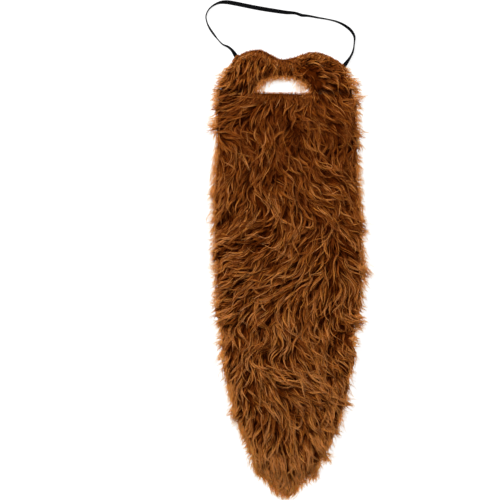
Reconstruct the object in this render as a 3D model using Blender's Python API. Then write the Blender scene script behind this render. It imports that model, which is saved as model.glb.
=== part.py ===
"""A long fake-fur costume beard with its moustache and head elastic, lying flat, face up.

X runs across the beard, +Y up the face from the tip towards the elastic, and Z is the height
above the surface that it lies on. The origin is on that surface, under the middle of the fur.
Everything is in metres; tables and sizes are written in millimetres times MM.
"""
import math
import random
from collections import namedtuple

import bmesh
import bpy
import numpy as np
from mathutils import Matrix, Vector
from mathutils.geometry import delaunay_2d_cdt

MM = 0.001
GAP = 0.3 * MM

# The cloth and the pile that stands on it.
CLOTH_THICKNESS = 1.5 * MM
PILE_BOTTOM = CLOTH_THICKNESS + GAP
PILE_SIDE = 5 * MM
PILE_RISE = 9 * MM
PILE_ROUND = 6 * MM
PILE_RINGS = (2.5 * MM, 7 * MM)
PILE_GRID = 32 * MM
PILE_OVERHANG = 3.5 * MM
DROOP_STEP = 1 * MM
DROOP_SLOPE = 0.25
DROOP_LOWEST = 3 * MM
RING_SHARE_KEPT = 0.85
OUTLINE_STEP = 11 * MM

# The cut edge across the top of the moustache, from corner to corner.
LEFT_CORNER = (-73 * MM, 303 * MM)
LEFT_HUMP = (-42 * MM, 313 * MM)
DIP = (-7 * MM, 299.5 * MM)
RIGHT_HUMP = (36 * MM, 309 * MM)
RIGHT_CORNER = (78.5 * MM, 290.5 * MM)

# The mouth opening: a nearly straight lower edge and an arch over it.
MOUTH_LEFT = (-50.5 * MM, 252.5 * MM)
MOUTH_RIGHT = (32 * MM, 250.5 * MM)
MOUTH_RISE = 25 * MM
MOUTH_STEPS = 12

# The rounded tip below the last row.
TIP_DEPTH = 24 * MM
TIP_STEPS = 10

# The cloth's two sides, a row for each change of its width, down from the moustache's corners.
SideRow = namedtuple("SideRow", "y left right")
SIDE_ROWS = [
    SideRow(281, -84, 80),
    SideRow(251, -96, 90.5),
    SideRow(218, -98, 93.5),
    SideRow(173, -98, 93.5),
    SideRow(104, -101, 97),
    SideRow(40, -99.5, 101),
    SideRow(-23, -98, 100),
    SideRow(-75, -92, 92),
    SideRow(-141, -83, 82),
    SideRow(-201, -69, 70),
    SideRow(-232, -58, 56),
    SideRow(-252, -49, 43),
]

# Where the hair is combed: headings in degrees at five places across the width, a row for each
# height. A heading of 0 is along +X, and -90 is straight down to the tip.
CombRow = namedtuple("CombRow", "y left_edge left middle right right_edge")
COMB = [
    CombRow(302, -150, -160, -90, -15, -30),
    CombRow(285, -130, -130, -90, -15, -35),
    CombRow(268, -125, -115, -90, -30, -40),
    CombRow(246, -125, -130, -95, -65, -40),
    CombRow(226, -150, -125, -95, -60, -30),
    CombRow(206, -160, -80, -110, -35, -15),
    CombRow(184, -40, -50, -130, -75, -45),
    CombRow(159, -75, -60, -110, -65, -70),
    CombRow(128, -130, -85, -75, -35, -20),
    CombRow(96, -115, -95, -75, -45, -45),
    CombRow(64, -110, -125, -85, -60, -25),
    CombRow(40, -145, -135, -110, -140, -45),
    CombRow(8, -150, -140, -120, -105, -45),
    CombRow(-26, -150, -135, -120, -110, -55),
    CombRow(-57, -155, -135, -65, -100, -30),
    CombRow(-86, -75, -110, -75, -75, -60),
    CombRow(-118, -100, -85, -75, -40, -50),
    CombRow(-156, -95, -75, -50, -45, -55),
    CombRow(-191, -110, -100, -60, -60, -30),
    CombRow(-226, -85, -80, -70, -65, -55),
    CombRow(-261, -70, -75, -90, -70, -50),
    CombRow(-296, -75, -80, -85, -90, -80),
]

# The locks that lie on the pile: long ones on the beard, smaller ones on the moustache.
LockKind = namedtuple("LockKind", "length width thickness spacing scatter seed")
BEARD_LOCKS = LockKind(58 * MM, 23 * MM, 8 * MM, 35 * MM, 6 * MM, 3)
MOUSTACHE_LOCKS = LockKind(38 * MM, 10.5 * MM, 5.5 * MM, 14.5 * MM, 2.5 * MM, 4)
LOCK_SIDES = 5
LOCK_LIFT = 2.4 * MM
LOCK_SWAY = 3 * MM
LENGTH_RANGE = (0.8, 1.15)
WIDTH_RANGE = (0.8, 1.1)
HEADING_SCATTER = 0.2
SHORTENING = 0.88
SHORTEST_SHARE = 0.35
ROOT_MARGIN = 0.4
FIRST_ROW = 0.45
LockStep = namedtuple("LockStep", "along width lift")
LOCK_STEPS = [
    LockStep(0.0, 0.55, -2.0),
    LockStep(0.28, 1.0, 0.7),
    LockStep(0.58, 0.85, 1.0),
    LockStep(0.82, 0.5, 0.3),
    LockStep(1.0, 0.14, -0.6),
]
SIDE_REACH = 6 * MM
INNER_MARGIN = 1.5 * MM
TIP_REACH = 15 * MM
TIP_REACH_FROM = -215 * MM
TIP_REACH_TO = -275 * MM

# Tufts that stick out past the sides, a row each: where they leave the pile and how they lie.
Tuft = namedtuple("Tuft", "x y heading length width")
TUFTS = [
    Tuft(-92, 262, -148, 17, 9),
    Tuft(-90, 205, -163, 30, 14),
    Tuft(-92, 122, -125, 27, 13),
    Tuft(-92, 84, -125, 27, 12),
    Tuft(-86, -54, -157, 30, 16),
    Tuft(-86, -92, -120, 24, 12),
    Tuft(90, 266, -22, 14, 9),
    Tuft(86, 238, 8, 25, 12),
    Tuft(86, 196, -15, 24, 12),
    Tuft(92, 80, -45, 28, 13),
    Tuft(92, 10, -30, 31, 14),
    Tuft(84, -60, -25, 29, 14),
    Tuft(68, -178, -20, 25, 14),
    Tuft(56, -214, -35, 23, 14),
    Tuft(40, -235, -57, 31, 14),
    Tuft(25, -250, -81, 36, 14),
    Tuft(9, -258, -82, 42, 14),
    Tuft(-5, -264, -88, 48, 14),
    Tuft(-20, -258, -86, 42, 14),
    Tuft(-35, -246, -88, 34, 13),
]

# The elastic band: its route by hand, a row for each place, from the left tack to the right one.
# turn is how far the band is turned up on its edge, in degrees.
STRAP_WIDTH = 6 * MM
STRAP_THICKNESS = 1 * MM
STRAP_POINTS = 64
STRAP_SIDES = 6
STRAP_SEAT = PILE_BOTTOM + STRAP_THICKNESS / 2
StrapPlace = namedtuple("StrapPlace", "x y turn raised")
STRAP_ROUTE = [
    StrapPlace(-63.0, 292.0, 0, 1),
    StrapPlace(-68.0, 298.0, 0, 1),
    StrapPlace(-73.0, 304.5, 14, 1),
    StrapPlace(-78.5, 312.5, 48, 0.5),
    StrapPlace(-84.0, 317.2, 56, 0),
    StrapPlace(-91.0, 320.2, 68, 0),
    StrapPlace(-97.5, 326.6, 76, 0),
    StrapPlace(-104.0, 334.8, 62, 0),
    StrapPlace(-109.5, 342.8, 64, 0),
    StrapPlace(-113.5, 351.5, 76, 0),
    StrapPlace(-114.8, 359.6, 80, 0),
    StrapPlace(-112.0, 367.6, 82, 0),
    StrapPlace(-104.7, 374.8, 76, 0),
    StrapPlace(-95.9, 378.8, 60, 0),
    StrapPlace(-87.0, 379.7, 30, 0),
    StrapPlace(-75.0, 378.1, 8, 0),
    StrapPlace(-59.0, 374.9, 0, 0),
    StrapPlace(-43.0, 371.7, 6, 0),
    StrapPlace(-18.8, 367.6, 24, 0),
    StrapPlace(-2.8, 365.2, 40, 0),
    StrapPlace(11.6, 363.8, 58, 0),
    StrapPlace(19.2, 361.2, 54, 0),
    StrapPlace(26.7, 360.5, 66, 0),
    StrapPlace(41.9, 357.8, 76, 0),
    StrapPlace(57.1, 355.1, 82, 0),
    StrapPlace(68.5, 352.1, 74, 0),
    StrapPlace(79.8, 346.5, 62, 0),
    StrapPlace(88.2, 339.6, 56, 0),
    StrapPlace(92.8, 331.2, 66, 0),
    StrapPlace(92.6, 322.0, 78, 0),
    StrapPlace(90.0, 308.5, 66, 0),
    StrapPlace(85.0, 299.5, 52, 0.4),
    StrapPlace(79.3, 291.5, 14, 1),
    StrapPlace(75.2, 285.0, 0, 1),
    StrapPlace(71.2, 279.0, 0, 1),
]

# The thread tacks across the band's ends, and the parting in the pile round each.
TACK_REACH = 4.4 * MM
TACK_WIRE = 0.7 * MM
TACK_FROM_END = 5 * MM
TACK_SHOULDER = 0.84
TACK_CROWN = 0.1 * MM
PARTING_WIDTH = 10.6 * MM
PARTING_INWARD = 3.5 * MM
PARTING_OUTWARD = 26 * MM
PARTING_HEIGHT = 40 * MM

# Materials: colour, roughness and metallic value.
FUR_BROWN = ("fur_brown", (0.235, 0.082, 0.022), 0.62, 0.0)
KNIT_BROWN = ("knit_brown", (0.16, 0.062, 0.022), 0.9, 0.0)
ELASTIC_BLACK = ("elastic_black", (0.012, 0.012, 0.014), 0.7, 0.0)
THREAD_BLACK = ("thread_black", (0.01, 0.01, 0.012), 0.55, 0.0)


def clear_scene():
    for old in list(bpy.data.objects):
        bpy.data.objects.remove(old, do_unlink=True)


def new_collection(name):
    collection = bpy.data.collections.new(name)
    bpy.context.scene.collection.children.link(collection)
    return collection


def new_material(name, colour, roughness, metallic):
    material = bpy.data.materials.new(name)
    material.use_nodes = True
    shader = material.node_tree.nodes["Principled BSDF"]
    shader.inputs["Base Color"].default_value = (*colour, 1)
    shader.inputs["Roughness"].default_value = roughness
    shader.inputs["Metallic"].default_value = metallic
    material.diffuse_color = (*colour, 1)
    return material


def smooth_values(places, values, at):
    """A smooth curve through a table's values, read at a place between them."""
    order = np.argsort(places)
    xs = np.asarray(places, float)[order]
    ys = np.asarray(values, float)[order]
    slopes = np.gradient(ys, xs)
    at = float(np.clip(at, xs[0], xs[-1]))
    k = int(np.clip(np.searchsorted(xs, at) - 1, 0, len(xs) - 2))
    width = xs[k + 1] - xs[k]
    t = (at - xs[k]) / width
    start = ys[k] * (2 * t**3 - 3 * t**2 + 1) + slopes[k] * width * (t**3 - 2 * t**2 + t)
    end = ys[k + 1] * (3 * t**2 - 2 * t**3) + slopes[k + 1] * width * (t**3 - t**2)
    return start + end


def side(y, column):
    heights = [row.y * MM for row in SIDE_ROWS]
    return smooth_values(heights, [getattr(row, column) * MM for row in SIDE_ROWS], y)


def hump(start, end, rounded_at_end, steps):
    """A rising or falling stretch of the top edge, level at the hump and sloping at a corner."""
    points = []
    for step in range(steps):
        t = step / steps
        x = start[0] + (end[0] - start[0]) * t
        if rounded_at_end:
            share = math.sin(t * math.pi / 2)
        else:
            share = 1 - math.cos(t * math.pi / 2)
        points.append((x, start[1] + (end[1] - start[1]) * share))
    return points


def wave(start, end, steps):
    """A stretch of the top edge that is level at both ends, between a hump and the dip."""
    points = []
    for step in range(steps):
        t = step / steps
        share = (1 - math.cos(t * math.pi)) / 2
        points.append((start[0] + (end[0] - start[0]) * t, start[1] + (end[1] - start[1]) * share))
    return points


def top_edge():
    points = hump(LEFT_CORNER, LEFT_HUMP, True, 6)
    points += wave(LEFT_HUMP, DIP, 7)
    points += wave(DIP, RIGHT_HUMP, 7)
    points += hump(RIGHT_HUMP, RIGHT_CORNER, False, 7)
    return points + [RIGHT_CORNER]


def side_points(column, start, end, overhang):
    """Points down one side of the panel, moved outwards by the overhang."""
    outward = -overhang if column == "left" else overhang
    count = max(2, round(abs(start - end) / OUTLINE_STEP))
    heights = [start + (end - start) * k / count for k in range(count + 1)]
    return [(side(y, column) + outward, y) for y in heights]


def tip_points(overhang):
    """The rounded tip, from the right side round to the left."""
    last = SIDE_ROWS[-1]
    middle = (last.left + last.right) / 2 * MM
    half = (last.right - last.left) / 2 * MM + overhang
    depth = TIP_DEPTH + overhang
    turns = [math.pi * k / TIP_STEPS for k in range(1, TIP_STEPS)]
    return [(middle + half * math.cos(a), last.y * MM - depth * math.sin(a)) for a in turns]


def mouth_arch():
    """The mouth's upper edge, from its left corner to its right one."""
    points = []
    for k in range(MOUTH_STEPS + 1):
        a = math.pi * k / MOUTH_STEPS
        along = (1 - math.cos(a)) / 2
        x = MOUTH_LEFT[0] + (MOUTH_RIGHT[0] - MOUTH_LEFT[0]) * along
        y = MOUTH_LEFT[1] + (MOUTH_RIGHT[1] - MOUTH_LEFT[1]) * along
        points.append((x, y + MOUTH_RISE * math.sin(a)))
    return points


def split_height(x):
    """The line along the mouth's lower edge, carried on to both sides, that parts the two piles."""
    slope = (MOUTH_RIGHT[1] - MOUTH_LEFT[1]) / (MOUTH_RIGHT[0] - MOUTH_LEFT[0])
    return MOUTH_LEFT[1] + slope * (x - MOUTH_LEFT[0])


def panel_outline():
    first = SIDE_ROWS[0].y * MM
    last = SIDE_ROWS[-1].y * MM
    right = side_points("right", first, last, 0)
    left = side_points("left", last, first, 0)
    return top_edge() + right + tip_points(0) + left


def moustache_outline():
    first = SIDE_ROWS[0].y * MM
    split_right = split_height(side(MOUTH_RIGHT[1], "right")) + GAP / 2
    split_left = split_height(side(MOUTH_LEFT[1], "left")) + GAP / 2
    right = side_points("right", first, split_right, PILE_OVERHANG)
    left = side_points("left", split_left, first, PILE_OVERHANG)
    arch = [(x, y + GAP / 2) for x, y in reversed(mouth_arch())]
    return top_edge() + right + arch + left


def beard_outline():
    split_right = split_height(side(MOUTH_RIGHT[1], "right")) - GAP / 2
    split_left = split_height(side(MOUTH_LEFT[1], "left")) - GAP / 2
    last = SIDE_ROWS[-1].y * MM
    right = side_points("right", split_right, last, PILE_OVERHANG)
    left = side_points("left", last, split_left, PILE_OVERHANG)
    return right + tip_points(PILE_OVERHANG) + left


def link_mesh(name, mesh, collection, material=None):
    piece = bpy.data.objects.new(name, mesh)
    collection.objects.link(piece)
    if material:
        mesh.materials.append(material)
    return piece


def flat_curve(name, outlines, collection):
    curve = bpy.data.curves.new(name, "CURVE")
    curve.dimensions = "2D"
    curve.fill_mode = "BOTH"
    for outline in outlines:
        spline = curve.splines.new("POLY")
        spline.points.add(len(outline) - 1)
        for point, (x, y) in zip(spline.points, outline):
            point.co = (x, y, 0, 1)
        spline.use_cyclic_u = True
    piece = bpy.data.objects.new(name, curve)
    collection.objects.link(piece)
    return piece


def as_mesh(piece, name, collection, material=None):
    """Makes a curve object's evaluated shape a mesh with its caps welded, and removes the curve."""
    bpy.context.view_layer.update()
    evaluated = piece.evaluated_get(bpy.context.evaluated_depsgraph_get())
    mesh = bpy.data.meshes.new_from_object(evaluated)
    mesh.materials.clear()
    form = bmesh.new()
    form.from_mesh(mesh)
    bmesh.ops.remove_doubles(form, verts=form.verts, dist=0.00001)
    bmesh.ops.recalc_face_normals(form, faces=form.faces)
    form.to_mesh(mesh)
    form.free()
    made = link_mesh(name, mesh, collection, material)
    made.matrix_world = piece.matrix_world
    bpy.data.objects.remove(piece, do_unlink=True)
    return made


def hide_cutter(cutter):
    cutter.hide_render = True
    cutter.display_type = "WIRE"
    return cutter


def cut(piece, cutter):
    boolean = piece.modifiers.new("cut", "BOOLEAN")
    boolean.operation = "DIFFERENCE"
    boolean.object = cutter


def sweep(name, section, path, collection, material=None):
    """Sweeps a closed flat section along an open path of (place, scale, turn) rows, its X axis level."""
    profile = flat_curve(name + "_section", [section], collection)
    curve = bpy.data.curves.new(name, "CURVE")
    curve.dimensions = "3D"
    curve.twist_mode = "Z_UP"
    curve.bevel_mode = "OBJECT"
    curve.bevel_object = profile
    curve.use_fill_caps = True
    spline = curve.splines.new("POLY")
    spline.points.add(len(path) - 1)
    for point, (place, scale, turn) in zip(spline.points, path):
        point.co = (*place, 1)
        point.radius = scale
        point.tilt = turn
    guide = bpy.data.objects.new(name + "_route", curve)
    collection.objects.link(guide)
    made = as_mesh(guide, name, collection, material)
    bpy.data.objects.remove(profile, do_unlink=True)
    return made


def oval(width, thickness, sides):
    turns = [2 * math.pi * k / sides for k in range(sides)]
    return [(width / 2 * math.cos(a), thickness / 2 * math.sin(a)) for a in turns]


def make_backing_cloth(collection):
    flat = flat_curve("backing_route", [panel_outline(), mouth_arch()], collection)
    flat.data.extrude = CLOTH_THICKNESS / 2
    flat.location.z = CLOTH_THICKNESS / 2
    return as_mesh(flat, "backing_cloth", collection, new_material(*KNIT_BROWN))


def inside_depth(outline, x, y):
    """How far a point lies inside an outline; negative outside."""
    ends = np.asarray(outline)
    starts = np.roll(ends, 1, axis=0)
    runs = ends - starts
    offsets = np.array((x, y)) - starts
    share = np.clip((offsets * runs).sum(1) / (runs**2).sum(1), 0, 1)
    nearest = np.hypot(*(offsets - runs * share[:, None]).T).min()
    crossed = (starts[:, 1] > y) != (ends[:, 1] > y)
    with np.errstate(divide="ignore", invalid="ignore"):
        at = starts[:, 0] + (y - starts[:, 1]) * runs[:, 0] / runs[:, 1]
    inside = np.count_nonzero(crossed & (x < at)) % 2 == 1
    return nearest if inside else -nearest


def pile_height(depth):
    """The height of the pile's surface at a distance inside its edge; outside it droops."""
    edge = PILE_BOTTOM + PILE_SIDE
    if depth < 0:
        return max(edge + depth * DROOP_SLOPE - DROOP_STEP, DROOP_LOWEST)
    return edge + PILE_RISE * (1 - math.exp(-depth / PILE_ROUND))


def ring_inside(outline, depth):
    """The outline's points moved inwards by a distance, without those that come too near its edge."""
    points = np.asarray(outline)
    ahead = np.roll(points, -1, axis=0) - np.roll(points, 1, axis=0)
    inward = np.stack((ahead[:, 1], -ahead[:, 0]), axis=1)
    inward /= np.hypot(*inward.T)[:, None]
    moved = points + inward * depth
    return [tuple(place) for place in moved if inside_depth(outline, *place) > depth * RING_SHARE_KEPT]


def grid_inside(outline, spacing, margin):
    low = np.min(outline, axis=0)
    high = np.max(outline, axis=0)
    xs = np.arange(low[0] + spacing / 2, high[0], spacing)
    ys = np.arange(low[1] + spacing / 2, high[1], spacing)
    return [(x, y) for y in ys for x in xs if inside_depth(outline, x, y) > margin]


def make_pile_mat(name, outline, collection, material):
    """A flat-bottomed mat of combed pile: upright at its edge, then rounding over to its crown."""
    places = list(outline)
    for depth in PILE_RINGS:
        places += ring_inside(outline, depth)
    places += grid_inside(outline, PILE_GRID, PILE_RINGS[-1] * 2)
    flat = [Vector(place) for place in places]
    spots, _, triangles, _, _, _ = delaunay_2d_cdt(flat, [], [list(range(len(outline)))], 1, 1e-6)
    form = bmesh.new()
    corners = [form.verts.new((x, y, PILE_BOTTOM)) for x, y in spots]
    for triangle in triangles:
        form.faces.new([corners[k] for k in triangle])
    bmesh.ops.recalc_face_normals(form, faces=form.faces)
    raised = bmesh.ops.extrude_face_region(form, geom=list(form.faces), use_keep_orig=True)["geom"]
    for corner in raised:
        if isinstance(corner, bmesh.types.BMVert):
            corner.co.z = pile_height(max(inside_depth(outline, corner.co.x, corner.co.y), 0))
    bmesh.ops.recalc_face_normals(form, faces=form.faces)
    underside = [face for face in form.faces if all(v.co.z == corners[0].co.z for v in face.verts)]
    bmesh.ops.dissolve_faces(form, faces=underside)
    bmesh.ops.triangulate(form, faces=[face for face in form.faces if len(face.verts) > 4])
    mesh = bpy.data.meshes.new(name)
    form.to_mesh(mesh)
    form.free()
    return link_mesh(name, mesh, collection, material)


def combed(x, y):
    """The heading of the hair at a place, in radians, from the comb table."""
    across = np.interp(x, (side(y, "left"), side(y, "right")), (0, 4))
    columns = CombRow._fields[1:]
    low = min(int(across), 3)
    share = across - low
    heights = [row.y * MM for row in COMB]
    total = Vector((0, 0))
    for column, weight in ((columns[low], 1 - share), (columns[low + 1], share)):
        turns = [math.radians(getattr(row, column)) for row in COMB]
        cosine = smooth_values(heights, np.cos(turns), y)
        sine = smooth_values(heights, np.sin(turns), y)
        total += Vector((cosine, sine)) * weight
    return math.atan2(total.y, total.x)


def lock_path(outline, root, heading, length, sway, scale):
    """One lock: out of the pile at its root, over it in a low arch, and down to a thin tip."""
    ahead = Vector((math.cos(heading), math.sin(heading)))
    aside = Vector((-ahead.y, ahead.x))
    path = []
    for step in LOCK_STEPS:
        place = Vector(root) + ahead * length * step.along + aside * sway * math.sin(step.along * 2 * math.pi)
        height = pile_height(inside_depth(outline, *place)) + step.lift * LOCK_LIFT
        path.append(((place.x, place.y, height), step.width * scale, 0))
    return path


def reaches_too_far(outline, path, lock_width):
    """Whether a lock passes the pile's edge by more than hair does there, most of all at the tip."""
    for (x, y, _), scale, _ in path:
        half = lock_width * scale / 2
        depth = inside_depth(outline, x, y)
        beside = x - half < side(y, "left") or x + half > side(y, "right") or y < TIP_REACH_FROM
        reach = np.interp(-y, (-TIP_REACH_FROM, -TIP_REACH_TO), (SIDE_REACH, TIP_REACH))
        near_split = abs(y - split_height(x)) < half + INNER_MARGIN
        if near_split or depth < (-reach if beside else half + INNER_MARGIN):
            return True
    return False


def near_a_parting(partings, path, half_width):
    """Whether a lock would lie over a place where the pile is parted for the band."""
    for end, onward in partings:
        for (x, y, _), _, _ in path:
            offset = Vector((x, y)) - end
            along = offset.dot(onward)
            beside = abs(offset.cross(onward))
            if -PARTING_INWARD - half_width < along and beside < PARTING_WIDTH / 2 + half_width:
                return True
    return False


def scattered_locks(kind, outline, low, high, partings):
    """Locks on a staggered grid over one pile, combed, and shortened to their allowed reach."""
    chance = random.Random(kind.seed)
    paths = []
    for row in range(int((high - low) / kind.spacing) + 1):
        y = high - (row + FIRST_ROW) * kind.spacing
        left, right = side(y, "left"), side(y, "right")
        count = max(1, round((right - left) / kind.spacing))
        for k in range(count):
            x = left + (right - left) * (k + 0.25 + 0.5 * (row % 2)) / count
            root = (x + chance.uniform(-1, 1) * kind.scatter, y + chance.uniform(-1, 1) * kind.scatter)
            heading = combed(*root) + chance.uniform(-1, 1) * HEADING_SCATTER
            length = kind.length * chance.uniform(*LENGTH_RANGE)
            sway = chance.uniform(-1, 1) * LOCK_SWAY
            scale = chance.uniform(*WIDTH_RANGE)
            if inside_depth(outline, *root) < kind.width * ROOT_MARGIN:
                continue
            path = lock_path(outline, root, heading, length, sway, scale)
            while reaches_too_far(outline, path, kind.width) and length > kind.length * SHORTEST_SHARE:
                length *= SHORTENING
                path = lock_path(outline, root, heading, length, sway, scale)
            covers = near_a_parting(partings, path, kind.width * scale / 2)
            if not covers and not reaches_too_far(outline, path, kind.width):
                paths.append(path)
    return paths


def edge_tufts(kind, outline, low, high):
    paths = []
    for tuft in TUFTS:
        root = (tuft.x * MM, tuft.y * MM)
        if low < root[1] < high:
            scale = tuft.width * MM / kind.width
            heading = math.radians(tuft.heading)
            paths.append(lock_path(outline, root, heading, tuft.length * MM, LOCK_SWAY / 2, scale))
    return paths


def make_parting(name, end, onward, cutters):
    """The cutter that parts the pile round a band's end and its tack."""
    form = bmesh.new()
    bmesh.ops.create_cube(form, size=1)
    length = PARTING_INWARD + PARTING_OUTWARD
    bmesh.ops.scale(form, vec=(length, PARTING_WIDTH, PARTING_HEIGHT), verts=form.verts)
    middle = end + onward * (PARTING_OUTWARD - PARTING_INWARD) / 2
    turned = Matrix.Rotation(math.atan2(onward.y, onward.x), 4, "Z")
    bmesh.ops.transform(form, matrix=Matrix.Translation((*middle, 0)) @ turned, verts=form.verts)
    mesh = bpy.data.meshes.new(name)
    form.to_mesh(mesh)
    form.free()
    return hide_cutter(link_mesh(name, mesh, cutters))


def largest_body(form):
    """The corners of the largest connected body in a mesh."""
    left = set(form.verts)
    largest = set()
    while left:
        body = set()
        to_visit = [left.pop()]
        while to_visit:
            corner = to_visit.pop()
            body.add(corner)
            for edge in corner.link_edges:
                other = edge.other_vert(corner)
                if other in left:
                    left.remove(other)
                    to_visit.append(other)
        largest = max(largest, body, key=len)
    return largest


def settle(piece):
    """Applies the fusing, then drops enclosed voids and the points left along straight edges."""
    bpy.context.view_layer.update()
    mesh = bpy.data.meshes.new_from_object(piece.evaluated_get(bpy.context.evaluated_depsgraph_get()))
    form = bmesh.new()
    form.from_mesh(mesh)
    body = largest_body(form)
    bmesh.ops.delete(form, geom=[corner for corner in form.verts if corner not in body], context="VERTS")
    between = [corner for corner in form.verts if len(corner.link_edges) == 2]
    bmesh.ops.dissolve_verts(form, verts=between)
    bmesh.ops.triangulate(form, faces=form.faces)
    form.to_mesh(mesh)
    form.free()
    piece.modifiers.clear()
    piece.data = mesh


def make_fur(name, kind, outline, low, high, partings, collection, cutters, material):
    """A pile mat, parted round the band's ends, with its locks fused on."""
    fur = make_pile_mat(name, outline, collection, material)
    for end, onward in partings:
        cut(fur, make_parting(name + "_parting", end, onward, cutters))
    paths = scattered_locks(kind, outline, low, high, partings) + edge_tufts(kind, outline, low, high)
    locks = bpy.data.collections.new(name + "_locks")
    cutters.children.link(locks)
    section = oval(kind.width, kind.thickness, LOCK_SIDES)
    for number, path in enumerate(paths):
        hide_cutter(sweep(f"{name}_lock_{number}", section, path, locks))
    fuse = fur.modifiers.new("fuse_locks", "BOOLEAN")
    fuse.operation = "UNION"
    fuse.operand_type = "COLLECTION"
    fuse.collection = locks
    fuse.use_self = True
    settle(fur)


def strap_line():
    """The band's centre line as evenly spaced (place, turn) rows of one smooth curve."""
    places = np.array([(row.x, row.y, row.turn, row.raised) for row in STRAP_ROUTE], float)
    runs = np.hypot(*np.diff(places[:, :2], axis=0).T)
    along = np.concatenate(([0], np.cumsum(runs)))
    line = []
    for at in np.linspace(0, along[-1], STRAP_POINTS):
        x, y, turn, raised = (smooth_values(along, places[:, k], at) for k in range(4))
        turn = math.radians(max(turn, 0))
        raised = min(max(raised, 0), 1)
        lying = (STRAP_WIDTH * math.sin(turn) + STRAP_THICKNESS * math.cos(turn)) / 2
        seat = lying + (PILE_BOTTOM if raised > 0 else 0) * raised
        line.append(((x * MM, y * MM, seat), turn))
    return line


def make_elastic_strap(collection):
    path = [(place, 1, turn) for place, turn in strap_line()]
    section = oval(STRAP_WIDTH, STRAP_THICKNESS, STRAP_SIDES)
    return sweep("elastic_strap", section, path, collection, new_material(*ELASTIC_BLACK))


def strap_end(first, second):
    """The band's end on the cloth, and the direction from it towards the loose band."""
    end = Vector((first.x * MM, first.y * MM))
    onward = Vector((second.x * MM, second.y * MM)) - end
    return end, onward.normalized()


def make_tack(name, end, onward, collection, material):
    """A bar of close stitches over the band, with both feet on the cloth beside it."""
    centre = end + onward * TACK_FROM_END
    across = Vector((-onward.y, onward.x))
    over = STRAP_SEAT + STRAP_THICKNESS / 2 + GAP + TACK_WIRE
    foot = PILE_BOTTOM
    knee = foot + TACK_WIRE
    half = [(1, foot), (1, knee), (TACK_SHOULDER, over)]
    rows = [(-share, height) for share, height in half] + [(0, over + TACK_CROWN)] + half[::-1]
    curve = bpy.data.curves.new(name, "CURVE")
    curve.dimensions = "3D"
    curve.bevel_depth = TACK_WIRE
    curve.bevel_resolution = 2
    curve.use_fill_caps = True
    spline = curve.splines.new("POLY")
    spline.points.add(len(rows) - 1)
    for point, (share, height) in zip(spline.points, rows):
        place = centre + across * TACK_REACH * share
        point.co = (place.x, place.y, height, 1)
    guide = bpy.data.objects.new(name + "_route", curve)
    collection.objects.link(guide)
    return as_mesh(guide, name, collection, material)


def build():
    clear_scene()
    parts = new_collection("fake_beard")
    cutters = new_collection("cutters")
    fur_brown = new_material(*FUR_BROWN)
    thread = new_material(*THREAD_BLACK)
    left = strap_end(STRAP_ROUTE[0], STRAP_ROUTE[1])
    right = strap_end(STRAP_ROUTE[-1], STRAP_ROUTE[-2])
    split = split_height(0)
    top = LEFT_HUMP[1]
    bottom = SIDE_ROWS[-1].y * MM - TIP_DEPTH
    make_backing_cloth(parts)
    make_fur("beard_fur", BEARD_LOCKS, beard_outline(), bottom, split, [], parts, cutters, fur_brown)
    make_fur(
        "moustache_fur",
        MOUSTACHE_LOCKS,
        moustache_outline(),
        split,
        top,
        [left, right],
        parts,
        cutters,
        fur_brown,
    )
    make_elastic_strap(parts)
    make_tack("strap_tack_left", *left, parts, thread)
    make_tack("strap_tack_right", *right, parts, thread)


build()
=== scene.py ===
"""The looks of a long fake-fur costume beard with its moustache and head elastic, lying face up.

Everything is in metres, in the frame of the solids: X across, +Y up the face, Z off the table.
"""
import math
from collections import namedtuple

import bmesh
import bpy
import numpy as np
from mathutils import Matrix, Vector
from mathutils.bvhtree import BVHTree


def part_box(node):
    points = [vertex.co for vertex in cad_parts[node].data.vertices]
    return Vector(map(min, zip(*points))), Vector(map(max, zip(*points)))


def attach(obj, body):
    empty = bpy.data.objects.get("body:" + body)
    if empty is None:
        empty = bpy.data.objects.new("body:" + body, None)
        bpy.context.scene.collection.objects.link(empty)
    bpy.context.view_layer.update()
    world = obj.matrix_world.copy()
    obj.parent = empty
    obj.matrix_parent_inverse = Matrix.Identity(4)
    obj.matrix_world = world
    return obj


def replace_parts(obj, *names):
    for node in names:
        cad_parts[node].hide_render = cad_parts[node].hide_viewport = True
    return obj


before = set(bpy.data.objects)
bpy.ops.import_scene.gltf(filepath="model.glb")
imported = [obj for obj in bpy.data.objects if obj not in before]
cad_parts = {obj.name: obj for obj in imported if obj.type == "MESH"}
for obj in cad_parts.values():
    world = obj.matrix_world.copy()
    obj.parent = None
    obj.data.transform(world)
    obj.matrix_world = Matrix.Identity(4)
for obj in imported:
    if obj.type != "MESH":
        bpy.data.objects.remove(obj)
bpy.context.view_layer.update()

# The ground cloth: a thin warp knit that the pile is made on, cut to the beard's outline with a
# hole for the mouth. It is one flat piece, dyed like the hair, and its bare ribbed side is below.
MM = 0.001
CLOTH_BROWN = (0.16, 0.062, 0.022, 1)
CLOTH_DARK = (0.07, 0.026, 0.010, 1)
CUT_EDGE_ROUND = 0.4 * MM
RIB_WIDTH = 1.5 * MM
STITCH_HEIGHT = 1.1 * MM
STITCH_SLANT = 1.6
KNIT_RELIEF = 0.35 * MM
WELD = 0.01 * MM
FLAT_ENOUGH = math.radians(1)
SHARP_EDGE = 1.0


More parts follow.
